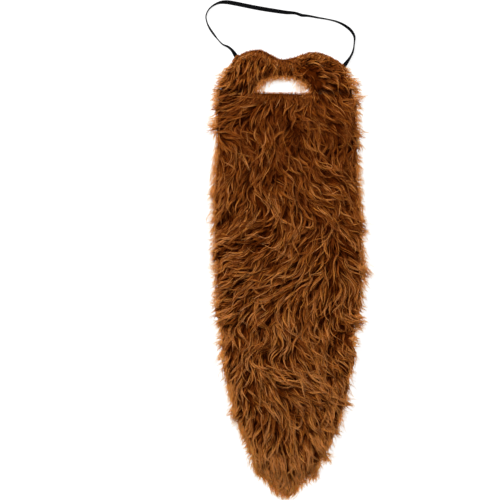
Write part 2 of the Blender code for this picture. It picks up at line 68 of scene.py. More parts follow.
class Flow:
    """A value on its way through a finish; arithmetic on it adds Math nodes."""

    def __init__(self, finish, socket):
        self.finish = finish
        self.socket = socket

    def math(self, operation, first, second=0.0):
        return self.finish.node("Math", {"operation": operation}, {0: first, 1: second})

    def __add__(self, other):
        return self.math("ADD", self, other)

    def __radd__(self, other):
        return self.math("ADD", other, self)

    def __sub__(self, other):
        return self.math("SUBTRACT", self, other)

    def __rsub__(self, other):
        return self.math("SUBTRACT", other, self)

    def __mul__(self, other):
        return self.math("MULTIPLY", self, other)

    def __rmul__(self, other):
        return self.math("MULTIPLY", other, self)

    def sine(self):
        return self.math("SINE", self)

    def size(self):
        return self.math("ABSOLUTE", self)


class Finish:
    """A material round one Principled shader, wired up a node at a time."""

    def __init__(self, name, **fixed):
        self.material = bpy.data.materials.new(name)
        self.material.use_nodes = True
        self.tree = self.material.node_tree
        self.shader = self.tree.nodes["Principled BSDF"]
        for socket, value in fixed.items():
            self.shader.inputs[socket.replace("_", " ")].default_value = value

    def feed(self, socket, value):
        if isinstance(value, Flow):
            self.tree.links.new(value.socket, socket)
        else:
            socket.default_value = value

    def node(self, kind, settings, sockets, output=0):
        made = self.tree.nodes.new("ShaderNode" + kind)
        for setting, value in settings.items():
            if setting == "stops":
                ramp = made.color_ramp.elements
                while len(ramp) < len(value):
                    ramp.new(0.5)
                for stop, (place, colour) in zip(ramp, value):
                    stop.position = place
                    stop.color = colour
            else:
                setattr(made, setting, value)
        for socket, value in sockets.items():
            self.feed(made.inputs[socket], value)
        return Flow(self, made.outputs[output])

    def mixed(self, share, first, second):
        return self.node("Mix", {"data_type": "RGBA"}, {0: share, 6: first, 7: second}, 2)

    def set(self, socket, value):
        self.feed(self.shader.inputs[socket], value)

    def layer(self, share, other):
        """Mixes another shader over the Principled one."""
        under = Flow(self, self.shader.outputs[0])
        mixed = self.node("MixShader", {}, {0: share, 1: under, 2: other})
        self.tree.links.new(mixed.socket, self.tree.nodes["Material Output"].inputs["Surface"])

    def bump(self, height, distance):
        sockets = {"Height": height, "Distance": distance, "Strength": 1.0}
        self.set("Normal", self.node("Bump", {}, sockets))


def parts_of(finish, vector):
    """The three numbers of a vector, each on its way through the finish."""
    split = finish.node("SeparateXYZ", {}, {0: vector})
    node = split.socket.node
    return [Flow(finish, node.outputs[k]) for k in range(3)]


def knit_finish():
    finish = Finish("ground_knit", Roughness=0.92, Specular_IOR_Level=0.1, Sheen_Weight=0.04)
    place = finish.node("TexCoord", {}, {}, 3)
    across, along, _ = parts_of(finish, place)
    rib = (across * (math.pi / RIB_WIDTH)).sine().size()
    stitch = (along * (math.pi / STITCH_HEIGHT) + rib * STITCH_SLANT).sine().size()
    patch = finish.node("TexNoise", {}, {"Vector": place, "Scale": 45.0, "Detail": 3.0})
    lint = finish.node("TexNoise", {}, {"Vector": place, "Scale": 900.0, "Detail": 2.0})
    loop = rib * (0.55 + stitch * 0.45)
    # Painted shade: the knit is painted darker between its loops, where the bump sinks, and its patches
    # differ in tone at random.
    finish.set("Base Color", finish.mixed(loop * 0.7 + patch * 0.3, CLOTH_DARK, CLOTH_BROWN))
    finish.bump(loop + lint * 0.3, KNIT_RELIEF)
    return finish.material


def copy_of(node):
    """A new mesh from a solid's triangles, with its corners merged and its flat faces whole."""
    form = bmesh.new()
    form.from_mesh(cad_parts[node].data)
    bmesh.ops.remove_doubles(form, verts=form.verts, dist=WELD)
    bmesh.ops.dissolve_limit(form, angle_limit=FLAT_ENOUGH, verts=form.verts, edges=form.edges)
    return form


def placed(name, data):
    """A new object of a mesh, curve, light or camera, in the scene."""
    thing = bpy.data.objects.new(name, data)
    bpy.context.scene.collection.objects.link(thing)
    return thing


def finished(name, form, material):
    """A new object of a bmesh, in its material."""
    mesh = bpy.data.meshes.new(name)
    form.to_mesh(mesh)
    form.free()
    mesh.materials.append(material)
    return placed(name, mesh)


cloth_form = copy_of("backing_cloth")
inner_edges = [edge for edge in cloth_form.edges if len(edge.link_faces) == 2]
bmesh.ops.bevel(
    cloth_form,
    geom=[edge for edge in inner_edges if edge.calc_face_angle() > SHARP_EDGE],
    offset=CUT_EDGE_ROUND,
    offset_type="OFFSET",
    affect="EDGES",
    segments=2,
    profile=0.5,
    material=-1,
)
bmesh.ops.triangulate(cloth_form, faces=cloth_form.faces)
ground_cloth = finished("ground_cloth", cloth_form, knit_finish())
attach(ground_cloth, "root")
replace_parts(ground_cloth, "backing_cloth")

# The dense short pile under the long hair: matted fibre that the wisps stand in, dark because
# little light gets down to it. It is a soft mat on the cloth, in two parts that meet at the mouth.
FIELD_STEP = 1 * MM
FIELD_LOW = (-0.14, -0.335)
FIELD_HIGH = (0.14, 0.335)
ABOVE_ALL = 100 * MM
FAR_CELLS = 40
NOWHERE = 1.0
DRIFT_ROOM = (0.4, 0.8)
SPREAD_ROUNDS = 60
HEIGHT_ROUNDS = 3
DROOP = 0.3
LOWEST_HAIR = 2.0 * MM
CLOTH_TOP = 1.8 * MM
MAT_STEP = 3.6 * MM
MAT_SINK = 6.5 * MM
MAT_SINK_TRIMMED = 2.5 * MM
MAT_ROUGH = 1.3 * MM
MAT_INSET = 0.4 * MM
MAT_RIM = 3.8 * MM
MAT_RIM_HEIGHT = 3.2 * MM
MAT_RIM_RISE = (6 * MM, 30 * MM)
MAT_RIM_ROUNDS = 3
MAT_THINNEST = 1.0 * MM
MAT_SINK_FULL = (0.6, 1)
MAT_RELIEF = 1.0 * MM
MAT_PARTING = 2 * MAT_STEP
MAT_PARTING_LOWER = 1 * MM
MAT_WAVES = (11, 7 * MM)
MAT_SLOPE_ROUNDS = 6
FIBRE_SCALE = (900.0, 260.0, 260.0)
MAT_DARK = (0.047, 0.0060, 0.0002, 1)
MAT_BROWN = (0.105, 0.021, 0.0015, 1)
MAT_GLOW = (0.60, 0.20, 0.028, 1)
MOUTH_BOX = ((-54 * MM, 34 * MM), (248 * MM, 282 * MM))
LIP_HEIGHT = 253 * MM
TOP_EDGE_FROM = 288 * MM
TOP_EDGE_SPAN = (-72 * MM, 77 * MM)
LIP_TRIM_LESS = 6 * MM
RIM_GLOW = 4.5 * MM
TIP_GLOW = 13 * MM
TIP_GLOW_FADE = (-220 * MM, -60 * MM)
MOUTH_GLOW = 3 * MM
PAST_CLOTH_GLOW = 9 * MM
PAST_CLOTH_SHARE = 0.45
TRIM_SHADE = 9 * MM
# Loose hair past the solids, in millimetres. Round the tip and down the right side it fills the
# outline from left to right, and over the mouth's corners and top only left to right is clear.
Span = namedtuple("Span", "y left right")
TIP_OUTLINE = [
    Span(-308, -16, 8),
    Span(-303, -19, 11),
    Span(-295, -24, 18),
    Span(-289, -29, 25),
    Span(-275, -41, 38),
    Span(-261, -50, 50),
    Span(-247, -50, 59),
    Span(-233, -55, 65),
    Span(-215, -60, 73),
    Span(-190, -60, 80),
    Span(-160, -60, 88),
    Span(-138, -60, 90),
    Span(-128, -60, 97),
    Span(-112, -60, 97),
    Span(-92, -60, 93),
]
MOUTH_OUTLINE = [
    Span(252, -42.5, 26.8),
    Span(258, -41, 26.3),
    Span(264, -35.5, 23),
    Span(268, -28, 17),
    Span(270.5, -20, 9),
    Span(272, -6, -6),
]


def tree_of(*nodes):
    corners = []
    faces = []
    for node in nodes:
        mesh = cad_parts[node].data
        start = len(corners)
        corners += [corner.co.copy() for corner in mesh.vertices]
        faces += [[start + k for k in face.vertices] for face in mesh.polygons]
    return BVHTree.FromPolygons(corners, faces)


def seen_from_above(tree):
    """The height of the first surface under each cell of the field, or nothing."""
    heights = np.full((len(field_y), len(field_x)), np.nan)
    down = Vector((0, 0, -1))
    for row, y in enumerate(field_y):
        for column, x in enumerate(field_x):
            hit = tree.ray_cast(Vector((x, y, ABOVE_ALL)), down)[0]
            if hit:
                heights[row, column] = hit.z
    return heights


def distance_to(mask):
    """How far each cell of the field is from the nearest marked one."""
    far = mask.shape[0] + mask.shape[1]
    places = np.arange(mask.shape[1])
    before = np.maximum.accumulate(np.where(mask, places, -far), axis=1)
    after = np.minimum.accumulate(np.where(mask, places, 2 * far)[:, ::-1], axis=1)[:, ::-1]
    along = np.minimum(places - before, after - places).astype(float)
    padded = np.pad(along, ((FAR_CELLS, FAR_CELLS), (0, 0)), constant_values=far)
    rows = []
    for k in range(2 * FAR_CELLS + 1):
        rows.append(padded[k : k + mask.shape[0]] ** 2 + (k - FAR_CELLS) ** 2)
    return np.sqrt(np.min(rows, axis=0)) * FIELD_STEP


def blurred(field, times):
    for _ in range(times):
        padded = np.pad(field, 1, mode="edge")
        around = padded[:-2, 1:-1] + padded[2:, 1:-1] + padded[1:-1, :-2] + padded[1:-1, 2:]
        field = around / 8 + field / 2
    return field


def eased(share):
    """A share that runs from 0 to 1, slower at both its ends."""
    return share * share * (3 - 2 * share)


def between(table, row, column, easing=np.asarray):
    """A table's values at places between its points, counted in its rows and columns."""
    r = row.astype(int)
    c = column.astype(int)
    up = easing(row - r)
    across = easing(column - c)
    lower = table[r, c] * (1 - across) + table[r, c + 1] * across
    upper = table[r + 1, c] * (1 - across) + table[r + 1, c + 1] * across
    return lower * (1 - up) + upper * up


def read(field, x, y):
    """A field's value at places between its cells."""
    column = np.clip((np.asarray(x) - FIELD_LOW[0]) / FIELD_STEP, 0, field.shape[1] - 1.001)
    row = np.clip((np.asarray(y) - FIELD_LOW[1]) / FIELD_STEP, 0, field.shape[0] - 1.001)
    return between(field, row, column)


def drift(seed, scale):
    """A smooth random field between -1 and 1, whose waves are about as long as scale."""
    columns, rows = (int(room / scale) + 3 for room in DRIFT_ROOM)
    knots = np.random.default_rng(seed).uniform(-1, 1, (rows, columns))
    across, up = np.meshgrid((field_x - FIELD_LOW[0]) / scale, (field_y - FIELD_LOW[1]) / scale)
    return between(knots, up, across, eased)


def sides_of(outline):
    """Where an outline's left and right sides are at the height of each cell."""
    heights = [span.y * MM for span in outline]
    for side in ("left", "right"):
        yield np.interp(grid_y, heights, [getattr(span, side) * MM for span in outline])


field_x = np.arange(FIELD_LOW[0], FIELD_HIGH[0], FIELD_STEP)
field_y = np.arange(FIELD_LOW[1], FIELD_HIGH[1], FIELD_STEP)
fur_seen = seen_from_above(tree_of("beard_fur", "moustache_fur"))
cloth_seen = ~np.isnan(seen_from_above(tree_of("backing_cloth")))
grid_x, grid_y = np.meshgrid(field_x, field_y)
tip_left, tip_right = sides_of(TIP_OUTLINE)
tip_hair = (grid_x > tip_left) & (grid_x < tip_right)
tip_hair &= (grid_y >= TIP_OUTLINE[0].y * MM) & (grid_y <= TIP_OUTLINE[-1].y * MM)
(hole_left, hole_right), (hole_low, hole_high) = MOUTH_BOX
mouth_hole = ~cloth_seen & (grid_x > hole_left) & (grid_x < hole_right)
mouth_hole &= (grid_y > hole_low) & (grid_y < hole_high)
clear_left, clear_right = sides_of(MOUTH_OUTLINE)
mouth_hair = mouth_hole & (grid_y > LIP_HEIGHT) & ((grid_x < clear_left) | (grid_x > clear_right))
fur_plan = ~np.isnan(fur_seen) | cloth_seen | tip_hair | mouth_hair
fur_depth = distance_to(~fur_plan) - distance_to(fur_plan)
cloth_depth = distance_to(~cloth_seen) - distance_to(cloth_seen)
fur_height = np.where(np.isnan(fur_seen), 0.0, fur_seen)
known = (~np.isnan(fur_seen)).astype(float)
spread_height = blurred(fur_height * known, SPREAD_ROUNDS)
spread_known = blurred(known, SPREAD_ROUNDS)
filled = np.where(spread_known > 1e-9, spread_height / np.maximum(spread_known, 1e-9), LOWEST_HAIR)
fur_height = np.where(known > 0, fur_height, filled + np.minimum(fur_depth, 0) * DROOP)
fur_height = np.maximum(blurred(fur_height, HEIGHT_ROUNDS), LOWEST_HAIR)
mouth_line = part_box("beard_fur")[1].y - MAT_PARTING_LOWER
hole_far = distance_to(mouth_hole)
above_top = ~cloth_seen & (grid_y > TOP_EDGE_FROM)
above_top &= (grid_x > TOP_EDGE_SPAN[0]) & (grid_x < TOP_EDGE_SPAN[1])
below_lip = grid_y < LIP_HEIGHT
lip_far = np.where(below_lip, hole_far, NOWHERE)
lip_trim = np.where(below_lip, hole_far + LIP_TRIM_LESS, NOWHERE)
trim_far = np.minimum(distance_to(above_top), lip_trim)
untrimmed = np.clip(np.minimum(trim_far, lip_far) / TRIM_SHADE, 0, 1)
side_glow = np.interp(grid_y, TIP_GLOW_FADE, (TIP_GLOW, RIM_GLOW))
near_mouth = np.interp(hole_far, (RIM_GLOW, 2 * RIM_GLOW), (1, 0))
glow_depth = side_glow + (MOUTH_GLOW - side_glow) * near_mouth


def light_through(x, y):
    """How far light comes through the hair: fully at the pile's outline, and past the cloth's. The mat and
    the hair are painted lighter by it.
    """
    near_rim = 1 - read(fur_depth, x, y) / read(glow_depth, x, y)
    past_cloth = -read(cloth_depth, x, y) / PAST_CLOTH_GLOW
    glow = np.maximum(near_rim, np.clip(past_cloth, 0, PAST_CLOTH_SHARE))
    return np.clip(glow, 0, 1) * read(untrimmed, x, y)


def undercoat_finish():
    finish = Finish("undercoat", Roughness=0.9, Specular_IOR_Level=0.01)
    place = finish.node("TexCoord", {}, {}, 3)
    combed = finish.node("Mapping", {}, {"Vector": place, "Scale": FIBRE_SCALE})
    tangle = {"Vector": combed, "Scale": 1.0, "Detail": 4.0, "Distortion": 1.5}
    fibre = finish.node("TexNoise", {}, tangle)
    patch = finish.node("TexNoise", {}, {"Vector": place, "Scale": 70.0, "Detail": 3.0})
    rim = finish.node("Attribute", {"attribute_name": "rim"}, {}, 2)
    matted = finish.mixed(fibre * patch * 1.6, MAT_DARK, MAT_BROWN)
    # Painted light: near the outline, where light comes through the rim, the mat's colour is painted
    # lighter and oranger, towards MAT_GLOW.
    finish.set("Base Color", finish.mixed(rim * (0.55 + fibre * 0.6), matted, MAT_GLOW))
    finish.bump(fibre, MAT_RELIEF)
    return finish.material


def make_undercoat(name, low, high, material):
    """One part of the mat: a grid over the plan, raised to the pile's height and closed below."""
    form = bmesh.new()
    rim_light_share = form.verts.layers.float.new("rim")
    wide, tall = (end - start for start, end in zip(FIELD_LOW, FIELD_HIGH))
    across = round(wide / MAT_STEP)
    up = round(tall / MAT_STEP)
    bmesh.ops.create_grid(form, x_segments=across, y_segments=up, size=1)
    bmesh.ops.scale(form, vec=(wide / 2, tall / 2, 1), verts=form.verts)
    x, y = np.array([corner.co[:2] for corner in form.verts]).T
    inside = (read(mat_depth, x, y) > 0) & (y > low) & (y < high)
    outside = [corner for corner, keep in zip(form.verts, inside) if not keep]
    bmesh.ops.delete(form, geom=outside, context="VERTS")
    lone = [corner for corner in form.verts if not corner.link_faces]
    bmesh.ops.delete(form, geom=lone, context="VERTS")
    rim_corners = [corner for corner in form.verts if corner.is_boundary]
    for _ in range(MAT_RIM_ROUNDS):
        bmesh.ops.smooth_vert(form, verts=rim_corners, factor=0.5, use_axis_x=True, use_axis_y=True)
        for corner in rim_corners:
            at_hole = read(hole_far, corner.co.x, corner.co.y) < MAT_PARTING
            if at_hole or low + MAT_PARTING < corner.co.y < high - MAT_PARTING:
                shift = float(read(mat_depth, corner.co.x, corner.co.y))
                corner.co.x -= float(read(mat_slope_x, corner.co.x, corner.co.y)) * shift
                corner.co.y -= float(read(mat_slope_y, corner.co.x, corner.co.y)) * shift
    raised = bmesh.ops.extrude_face_region(form, geom=list(form.faces), use_keep_orig=True)["geom"]
    raised = [corner for corner in raised if isinstance(corner, bmesh.types.BMVert)]
    x, y = np.array([corner.co[:2] for corner in raised]).T
    sink = np.interp(read(untrimmed, x, y), MAT_SINK_FULL, (MAT_SINK_TRIMMED, MAT_SINK))
    heights = read(fur_height, x, y) - sink + read(mat_waves, x, y) * MAT_ROUGH
    rim_span, rim_top = MAT_RIM_RISE
    rim_cap = np.interp(read(mat_depth, x, y), (0, rim_span), (MAT_RIM_HEIGHT, rim_top))
    top = np.maximum(np.minimum(heights, rim_cap), CLOTH_TOP + MAT_THINNEST)
    # How much painted rim light each raised corner takes; the corners below take it fully.
    glow = light_through(x, y)
    for corner in form.verts:
        corner.co.z = CLOTH_TOP
        corner[rim_light_share] = 1.0
    for corner, height, share in zip(raised, top, glow):
        corner.co.z = height
        corner[rim_light_share] = share
    bmesh.ops.recalc_face_normals(form, faces=form.faces)
    for face in form.faces:
        face.smooth = True
    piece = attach(finished(name, form, material), "root")
    return piece


mat_waves = drift(*MAT_WAVES)
mat_depth = fur_depth - (MAT_INSET + (MAT_RIM - MAT_INSET) * untrimmed)
mat_slope_y, mat_slope_x = np.gradient(blurred(fur_depth, MAT_SLOPE_ROUNDS), FIELD_STEP)
undercoat = undercoat_finish()
beard_undercoat = make_undercoat("beard_undercoat", FIELD_LOW[1], mouth_line, undercoat)
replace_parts(beard_undercoat, "beard_fur")
moustache_undercoat = make_undercoat("moustache_undercoat", mouth_line, FIELD_HIGH[1], undercoat)
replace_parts(moustache_undercoat, "moustache_fur")

# The long hair: crimped acrylic fibre that lies in wavy wisps, each wisp wide at its roots and
# drawn to a point, combed down and outwards by hand. It is trimmed short along the top edge.
PHOTO_MIDDLE = 250
PHOTO_PIXEL = 1.4 * MM
PHOTO_AT = (-0.0532, 0.0329)
# The way the hair is combed, read one by one: its heading in degrees at seven columns of the picture,
# for the picture's row that each line starts with.
COMB_COLUMNS = (218, 240, 262, 285, 307, 330, 352)
COMB = {
    40: (-165, -160, -100, -90, 10, -10, -40),
    55: (-160, -150, -105, -90, 10, -15, -40),
    65: (-150, -125, -120, -95, 15, -25, -45),
    75: (-150, -110, -115, -90, 0, -35, -45),
    85: (-160, -110, -75, -90, -110, -55, -40),
    95: (-140, -125, -110, -95, -110, -75, -45),
    105: (-145, -150, -125, -100, -100, -80, -55),
    115: (-150, -150, -125, -100, -75, -70, -60),
    125: (-155, -140, -110, -95, -40, -45, -35),
    138: (-40, -40, -55, -130, -60, -70, -25),
    150: (-35, -40, -80, -100, -60, -100, -90),
    162: (-60, -80, -105, -80, -50, -60, -80),
    175: (-145, -110, -110, -50, -45, -25, -25),
    190: (-135, -95, -75, -75, -60, -30, -35),
    205: (-120, -120, -50, -75, -68, -35, -45),
    220: (-105, -125, -140, -70, -75, -60, -45),
    235: (-150, -150, -155, -90, -150, -115, -35),
    250: (-155, -150, -155, -130, -130, -95, -55),
    265: (-152, -155, -120, -125, -125, -90, -60),
    280: (-150, -150, -145, -135, -125, -90, -50),
    295: (-150, -148, -138, -122, -125, -115, -100),
    310: (-160, -140, -130, -100, -110, -110, -60),
    322: (-120, -125, -110, -70, -90, -80, -30),
    335: (-100, -60, -110, -80, -80, -100, -50),
    348: (-115, -100, -160, -130, -50, -105, -50),
    362: (-110, -105, -75, -70, -42, -60, -48),
    375: (-105, -105, -60, -20, -45, -60, -65),
    390: (-95, -95, -75, -35, -35, -50, -75),
    405: (-80, -105, -65, -45, -45, -55, -20),
    420: (-90, -125, -95, -60, -70, -60, -60),
    435: (-90, -110, -110, -90, -75, -58, -55),
    450: (-90, -95, -105, -95, -78, -60, -55),
    465: (-75, -75, -88, -85, -80, -60, -55),
    480: (-70, -70, -75, -83, -92, -90, -80),
    500: (-70, -75, -80, -90, -100, -100, -100),
}
COMB_ROUNDS = 8

# The growths of hair, from the lowest up, a row each. In millimetres: the spacing between wisps,
# their length, depth in the pile, how deep their roots sink, arch, spread, strand width, and how far
# they may reach past the outline. strands and rings are counts, flat is a strand's height for its
# width, and shown is where along the dyed run a strand begins. tone is how light the dye is, unruly
# how far wisps stray from the comb, and outward how far they turn to the outline. The tufts' wisps
# have their own places and lengths.
Growth = namedtuple(
    "Growth",
    "zone seed spacing length depth sink arch strands spread width flat rings shown tone unruly"
    " reach_low reach_high outward",
)
GROWTHS = [
    Growth("under", 21, 6.2, 26, -4.8, 6, 0.5, 1, 1.0, 3.00, 0.5, 5, 0.0, 0.18, 0.25, 0.0, 1.0, 0.0),
    Growth("long", 22, 8.4, 36, -2.8, 6, 1.2, 6, 3.3, 1.00, 0.9, 5, 0.0, 0.32, 0.20, 0.5, 2.5, 0.0),
    Growth("long", 23, 9.7, 46, -0.6, 6, 2.0, 6, 3.3, 0.82, 0.9, 9, 0.0, 0.51, 0.17, 0.5, 3.5, 0.0),
    Growth("long", 24, 13.5, 44, 1.0, 6, 2.2, 4, 2.2, 0.62, 1.0, 9, 0.0, 0.64, 0.26, 2.0, 7.0, 0.0),
    Growth("tuft", 28, 0, 0, 0.5, 3, 1.5, 5, 1.6, 0.55, 0.9, 8, 0.3, 0.57, 0.12, 3.0, 8.0, 0.0),
    Growth("haze", 31, 1.65, 20, -1.4, 1.5, 0.3, 1, 0.6, 1.30, 0.35, 5, 0.55, 0.60, 0.30, 1.5, 11.0, 0.45),
    Growth("rim", 25, 3.3, 27, -1.8, 3, 0.8, 4, 2.0, 0.50, 1.0, 6, 0.5, 0.52, 0.25, 1.5, 11.0, 0.40),
    Growth("rim", 30, 5.0, 34, -0.5, 2, 0.8, 2, 1.2, 0.36, 1.0, 7, 0.6, 0.66, 0.30, 5.0, 16.0, 0.42),
    Growth("trimmed", 26, 2.1, 12, -0.9, 1.6, 0.3, 3, 1.0, 0.60, 1.0, 5, 0.4, 0.42, 0.20, 0.3, 1.5, 0.0),
    Growth("fuzz", 29, 1.0, 5.6, 0.2, 1.0, 0.0, 2, 0.5, 0.55, 1.0, 4, 0.5, 0.44, 0.30, 0.4, 1.6, 0.9),
    Growth("mouth", 32, 1.9, 29, -2.2, 2, 0.4, 1, 0.8, 1.20, 0.35, 6, 0.5, 0.50, 0.30, 2.5, 6.0, 0.3),
    Growth("mouth", 27, 1.5, 32, -1.6, 2, 0.5, 3, 1.4, 0.36, 1.0, 7, 0.5, 0.50, 0.35, 2.5, 9.0, 0.3),
    Growth("corner", 33, 2.7, 38, -1.8, 2, 0.5, 2, 2.0, 0.42, 1.0, 8, 0.6, 0.75, 0.40, 7.0, 17.0, 0.0),
]
OWN_PIECES = {
    "tuft": "tufts",
    "haze": "edge_fringe",
    "rim": "edge_fringe",
    "trimmed": "trimmed_pile",
    "fuzz": "trimmed_pile",
    "mouth": "mouth_fringe",
    "corner": "mouth_fringe",
}
# The tufts that stick out past the sides, as in the solids: where they leave the pile, in
# millimetres, the way they lie, in degrees, and their size. One thinner lock lies among them.
Tuft = namedtuple("Tuft", "x y heading length width")
TUFTS = [
    Tuft(-92, 262, -148, 17, 9),
    Tuft(-90, 205, -163, 30, 14),
    Tuft(-92, 122, -125, 27, 13),
    Tuft(-92, 84, -125, 27, 12),
    Tuft(-86, -54, -157, 30, 16),
    Tuft(-86, -92, -120, 24, 12),
    Tuft(90, 266, -22, 14, 9),
    Tuft(86, 238, 8, 25, 12),
    Tuft(86, 196, -15, 24, 12),
    Tuft(92, 80, -45, 28, 13),
    Tuft(92, 10, -30, 31, 14),
    Tuft(84, -60, -25, 29, 14),
    Tuft(68, -178, -20, 25, 14),
    Tuft(56, -214, -35, 23, 14),
    Tuft(40, -235, -57, 31, 14),
    Tuft(25, -250, -81, 36, 14),
    Tuft(9, -258, -82, 42, 14),
    Tuft(-5, -264, -88, 48, 14),
    Tuft(-20, -258, -86, 42, 14),
    Tuft(-35, -246, -88, 34, 13),
]
LOOSE_LOCK = Tuft(84, -108, -40, 24, 14)
TUFT_BACK = 16 * MM
TUFT_WISPS_PER_WIDTH = 0.6
TUFT_SWAY = 1.6 * MM
TUFT_REACH = (0.75, 1.06)
TUFT_ROOTS = (0.5, 1)
TUFT_BREADTH = (-0.6, 0.6)
TUFT_NARROWING = 0.9
# Tones run from 0, the darkest dye, to 1, the lightest, and get lighter towards the tip.
# Near the outline and the trimmed edges the tones are raised towards these, painted light for the light
# that comes through there.
GLOW_TONE = 1.0
TRIMMED_GLOW = (1.5 * MM, 0.62)
BRIGHTEST_INSIDE = 0.8
TONE_HEIGHTS = (-0.27, -0.2, -0.1, 0.05, 0.2, 0.3)
TONE_GAINS = (1.36, 1.28, 1.16, 1.02, 0.82, 1.06)
WISP_TONE_SPREAD = 0.09
STRAND_TONE_SPREAD = 0.13
SHORT_HAIR_SPREAD = 0.5
TONE_LIMITS = (0.02, 0.97)
# Where each growth has its roots: how far inside the pile's outline or the cloth's, and how far
# from the trimmed edges.
ROOT_INSIDE = 0.5 * MM
ROOT_PAST_CLOTH = 2.5 * MM
TIP_FROM = -250 * MM
UNDER_FROM = (1 * MM, 4 * MM)
LONG_FROM = (4 * MM, 13 * MM)
RIM_WIDTH = 6 * MM
FRINGE_FROM = 8 * MM
FRINGE_CLEAR = 5 * MM
HAZE_FROM = 6.5 * MM
HAZE_CLEAR = 4 * MM
TRIMMED_PAST_CLOTH = 1.2 * MM
TRIMMED_WIDTH = (7 * MM, 19 * MM)
FUZZ_EDGE = (-0.3 * MM, 2.8 * MM)
FUZZ_WIDTH = 14 * MM
# How the wisps run: their crimp, how much they differ, and how far they may reach. Each drift
# that they share has its seed and how long its waves are.
GUIDE_STEPS = 28
ROOT_SCATTER = 0.6
LENGTHS = (0.7, 1.2)
MOUSTACHE_LENGTH = 0.72
CRIMP_LENGTH = (28 * MM, 62 * MM)
CRIMP_TURN = (0.15, 0.65)
CRIMP_STRAYS = 0.25
PHASE_STRAYS = 0.4
CURL = 11
CRIMP_DRIFT = (51, 30 * MM)
TURN_DRIFT = (52, 30 * MM)
PHASE_DRIFT = (53, 26 * MM)
LEAN_DRIFT = (54, 17 * MM)
LEAN = 0.4
OUTWARD_ROUNDS = 10
DEPTH_STRAYS = 1.1 * MM
ROOT_RISE = 0.35
TIP_DROP = 1.2 * MM
FLOOR_STRAYS = 1.5 * MM
SHORTEST_WISP = 5 * MM
TRIM_REACH = (0.4 * MM, 2.0 * MM)
LIP_REACH = (2.2 * MM, 4.2 * MM)
MOUTH_CORNER_REACH = (0.7, 1.0, 1.0, 0.6)
MOUTH_CORNER_WIDTH = 24 * MM
# How a wisp's strands part from one another between its root and its tip.
STRAND_ENDS = (0.72, 1.0)
STRAND_WIDTHS = (0.75, 1.2)
STRAND_WAVES = (0.6, 1.6)
STRAND_LIFT = 0.4 * MM
SPREAD_CLOSES = 0.85
WHOLE_TURN = 6.3
WANDER = 0.35 * MM
LONG_ENOUGH = 30
CROWN = 0.3
# The long hair is parted by height, in millimetres, so that no piece of it is too big.
HairPiece = namedtuple("HairPiece", "name low high")
HAIR_PIECES = [
    HairPiece("moustache_hair", 252, 340),
    HairPiece("beard_hair_top", 150, 252),
    HairPiece("beard_hair_upper", 55, 150),
    HairPiece("beard_hair_middle", -40, 55),
    HairPiece("beard_hair_lower", -135, -40),
    HairPiece("beard_hair_tip", -340, -135),
]
ALL_HEIGHTS = (-340, 340)
HAIR_BACKLIT = (1.0, 0.77, 0.38, 1)
LIT_THROUGH = 0.87
TAPER_PLACES = (0, 0.15, 0.6, 1)
TAPER = (0.6, 1, 0.85, 0.12)
RIM_TAPER = (0.8, 1, 0.8, 0.3)
HAZE_TAPER = (0.9, 1, 0.5, 0.08)
HAIR_GOLDEN = (1.12, 1.08, 0.75, 1)
HAIR_ROSY = (0.88, 0.90, 1.7, 1)
HAIR_ROOT_SHADE = (0.049, 0.0060, 0.0001, 1)
HAIR_TONES = [
    (0.0, (0.070, 0.0110, 0.0003, 1)),
    (0.3, (0.150, 0.031, 0.003, 1)),
    (0.55, (0.340, 0.092, 0.012, 1)),
    (0.8, (0.740, 0.280, 0.050, 1)),
    (1.0, (0.970, 0.500, 0.150, 1)),
]
ROOT_SHADE_TO = 0.55
THIN_TONES = (0.8, 0.93)
STREAK_SCALE = (260.0, 5.0, 1.0)
LOCK_SCALE = (90.0, 1.2, 1.0)
LOCK_SHIFT = (3.7, 0.0, 0.0)
MAP_MARGIN = 0.01
MAP_STRAND = 0.004


def hair_finish():
    """The dyed fibre: its own map holds each strand's tone across and its root-to-tip way along."""
    finish = Finish("long_hair", Roughness=0.45, Specular_IOR_Level=0.01)
    place = finish.node("UVMap", {"uv_map": "OFBake"}, {})
    tone, along, _ = parts_of(finish, place)
    flat_noise = {"noise_dimensions": "2D"}
    stretched = finish.node("Mapping", {}, {"Vector": place, "Scale": STREAK_SCALE})
    streaks = {"Vector": stretched, "Scale": 1.0, "Detail": 2.0}
    streak = finish.node("TexNoise", flat_noise, streaks)
    shade = tone + (streak - 0.5) * 0.22 + (along - 0.5) * 0.16
    dyed = finish.node("ValToRGB", {"stops": HAIR_TONES}, {"Fac": shade})
    # Painted shade: each strand is painted darker towards its roots, down in the pile where little light
    # gets.
    open_to_light = finish.node(
        "MapRange",
        {"interpolation_type": "SMOOTHSTEP"},
        {"Value": along, "From Min": 0.0, "From Max": ROOT_SHADE_TO},
    )
    locks = {"Vector": place, "Location": LOCK_SHIFT, "Scale": LOCK_SCALE}
    lock = finish.node("Mapping", {}, locks)
    vat = finish.node("TexNoise", flat_noise, {"Vector": lock, "Scale": 1.0, "Detail": 1.0})
    tint = finish.mixed((vat - 0.5) * 2.4 + 0.5, HAIR_GOLDEN, HAIR_ROSY)
    multiplied = {"data_type": "RGBA", "blend_type": "MULTIPLY"}
    dyed = finish.node("Mix", multiplied, {0: 1.0, 6: dyed, 7: tint}, 2)
    finish.set("Base Color", finish.mixed(open_to_light, HAIR_ROOT_SHADE, dyed))
    low, high = THIN_TONES
    tones = {"Value": tone, "From Min": low, "From Max": high, "To Max": LIT_THROUGH}
    thin = finish.node("MapRange", {}, tones)
    backlit = finish.node("BsdfTranslucent", {}, {"Color": HAIR_BACKLIT})
    finish.layer(thin, backlit)
    return finish.material


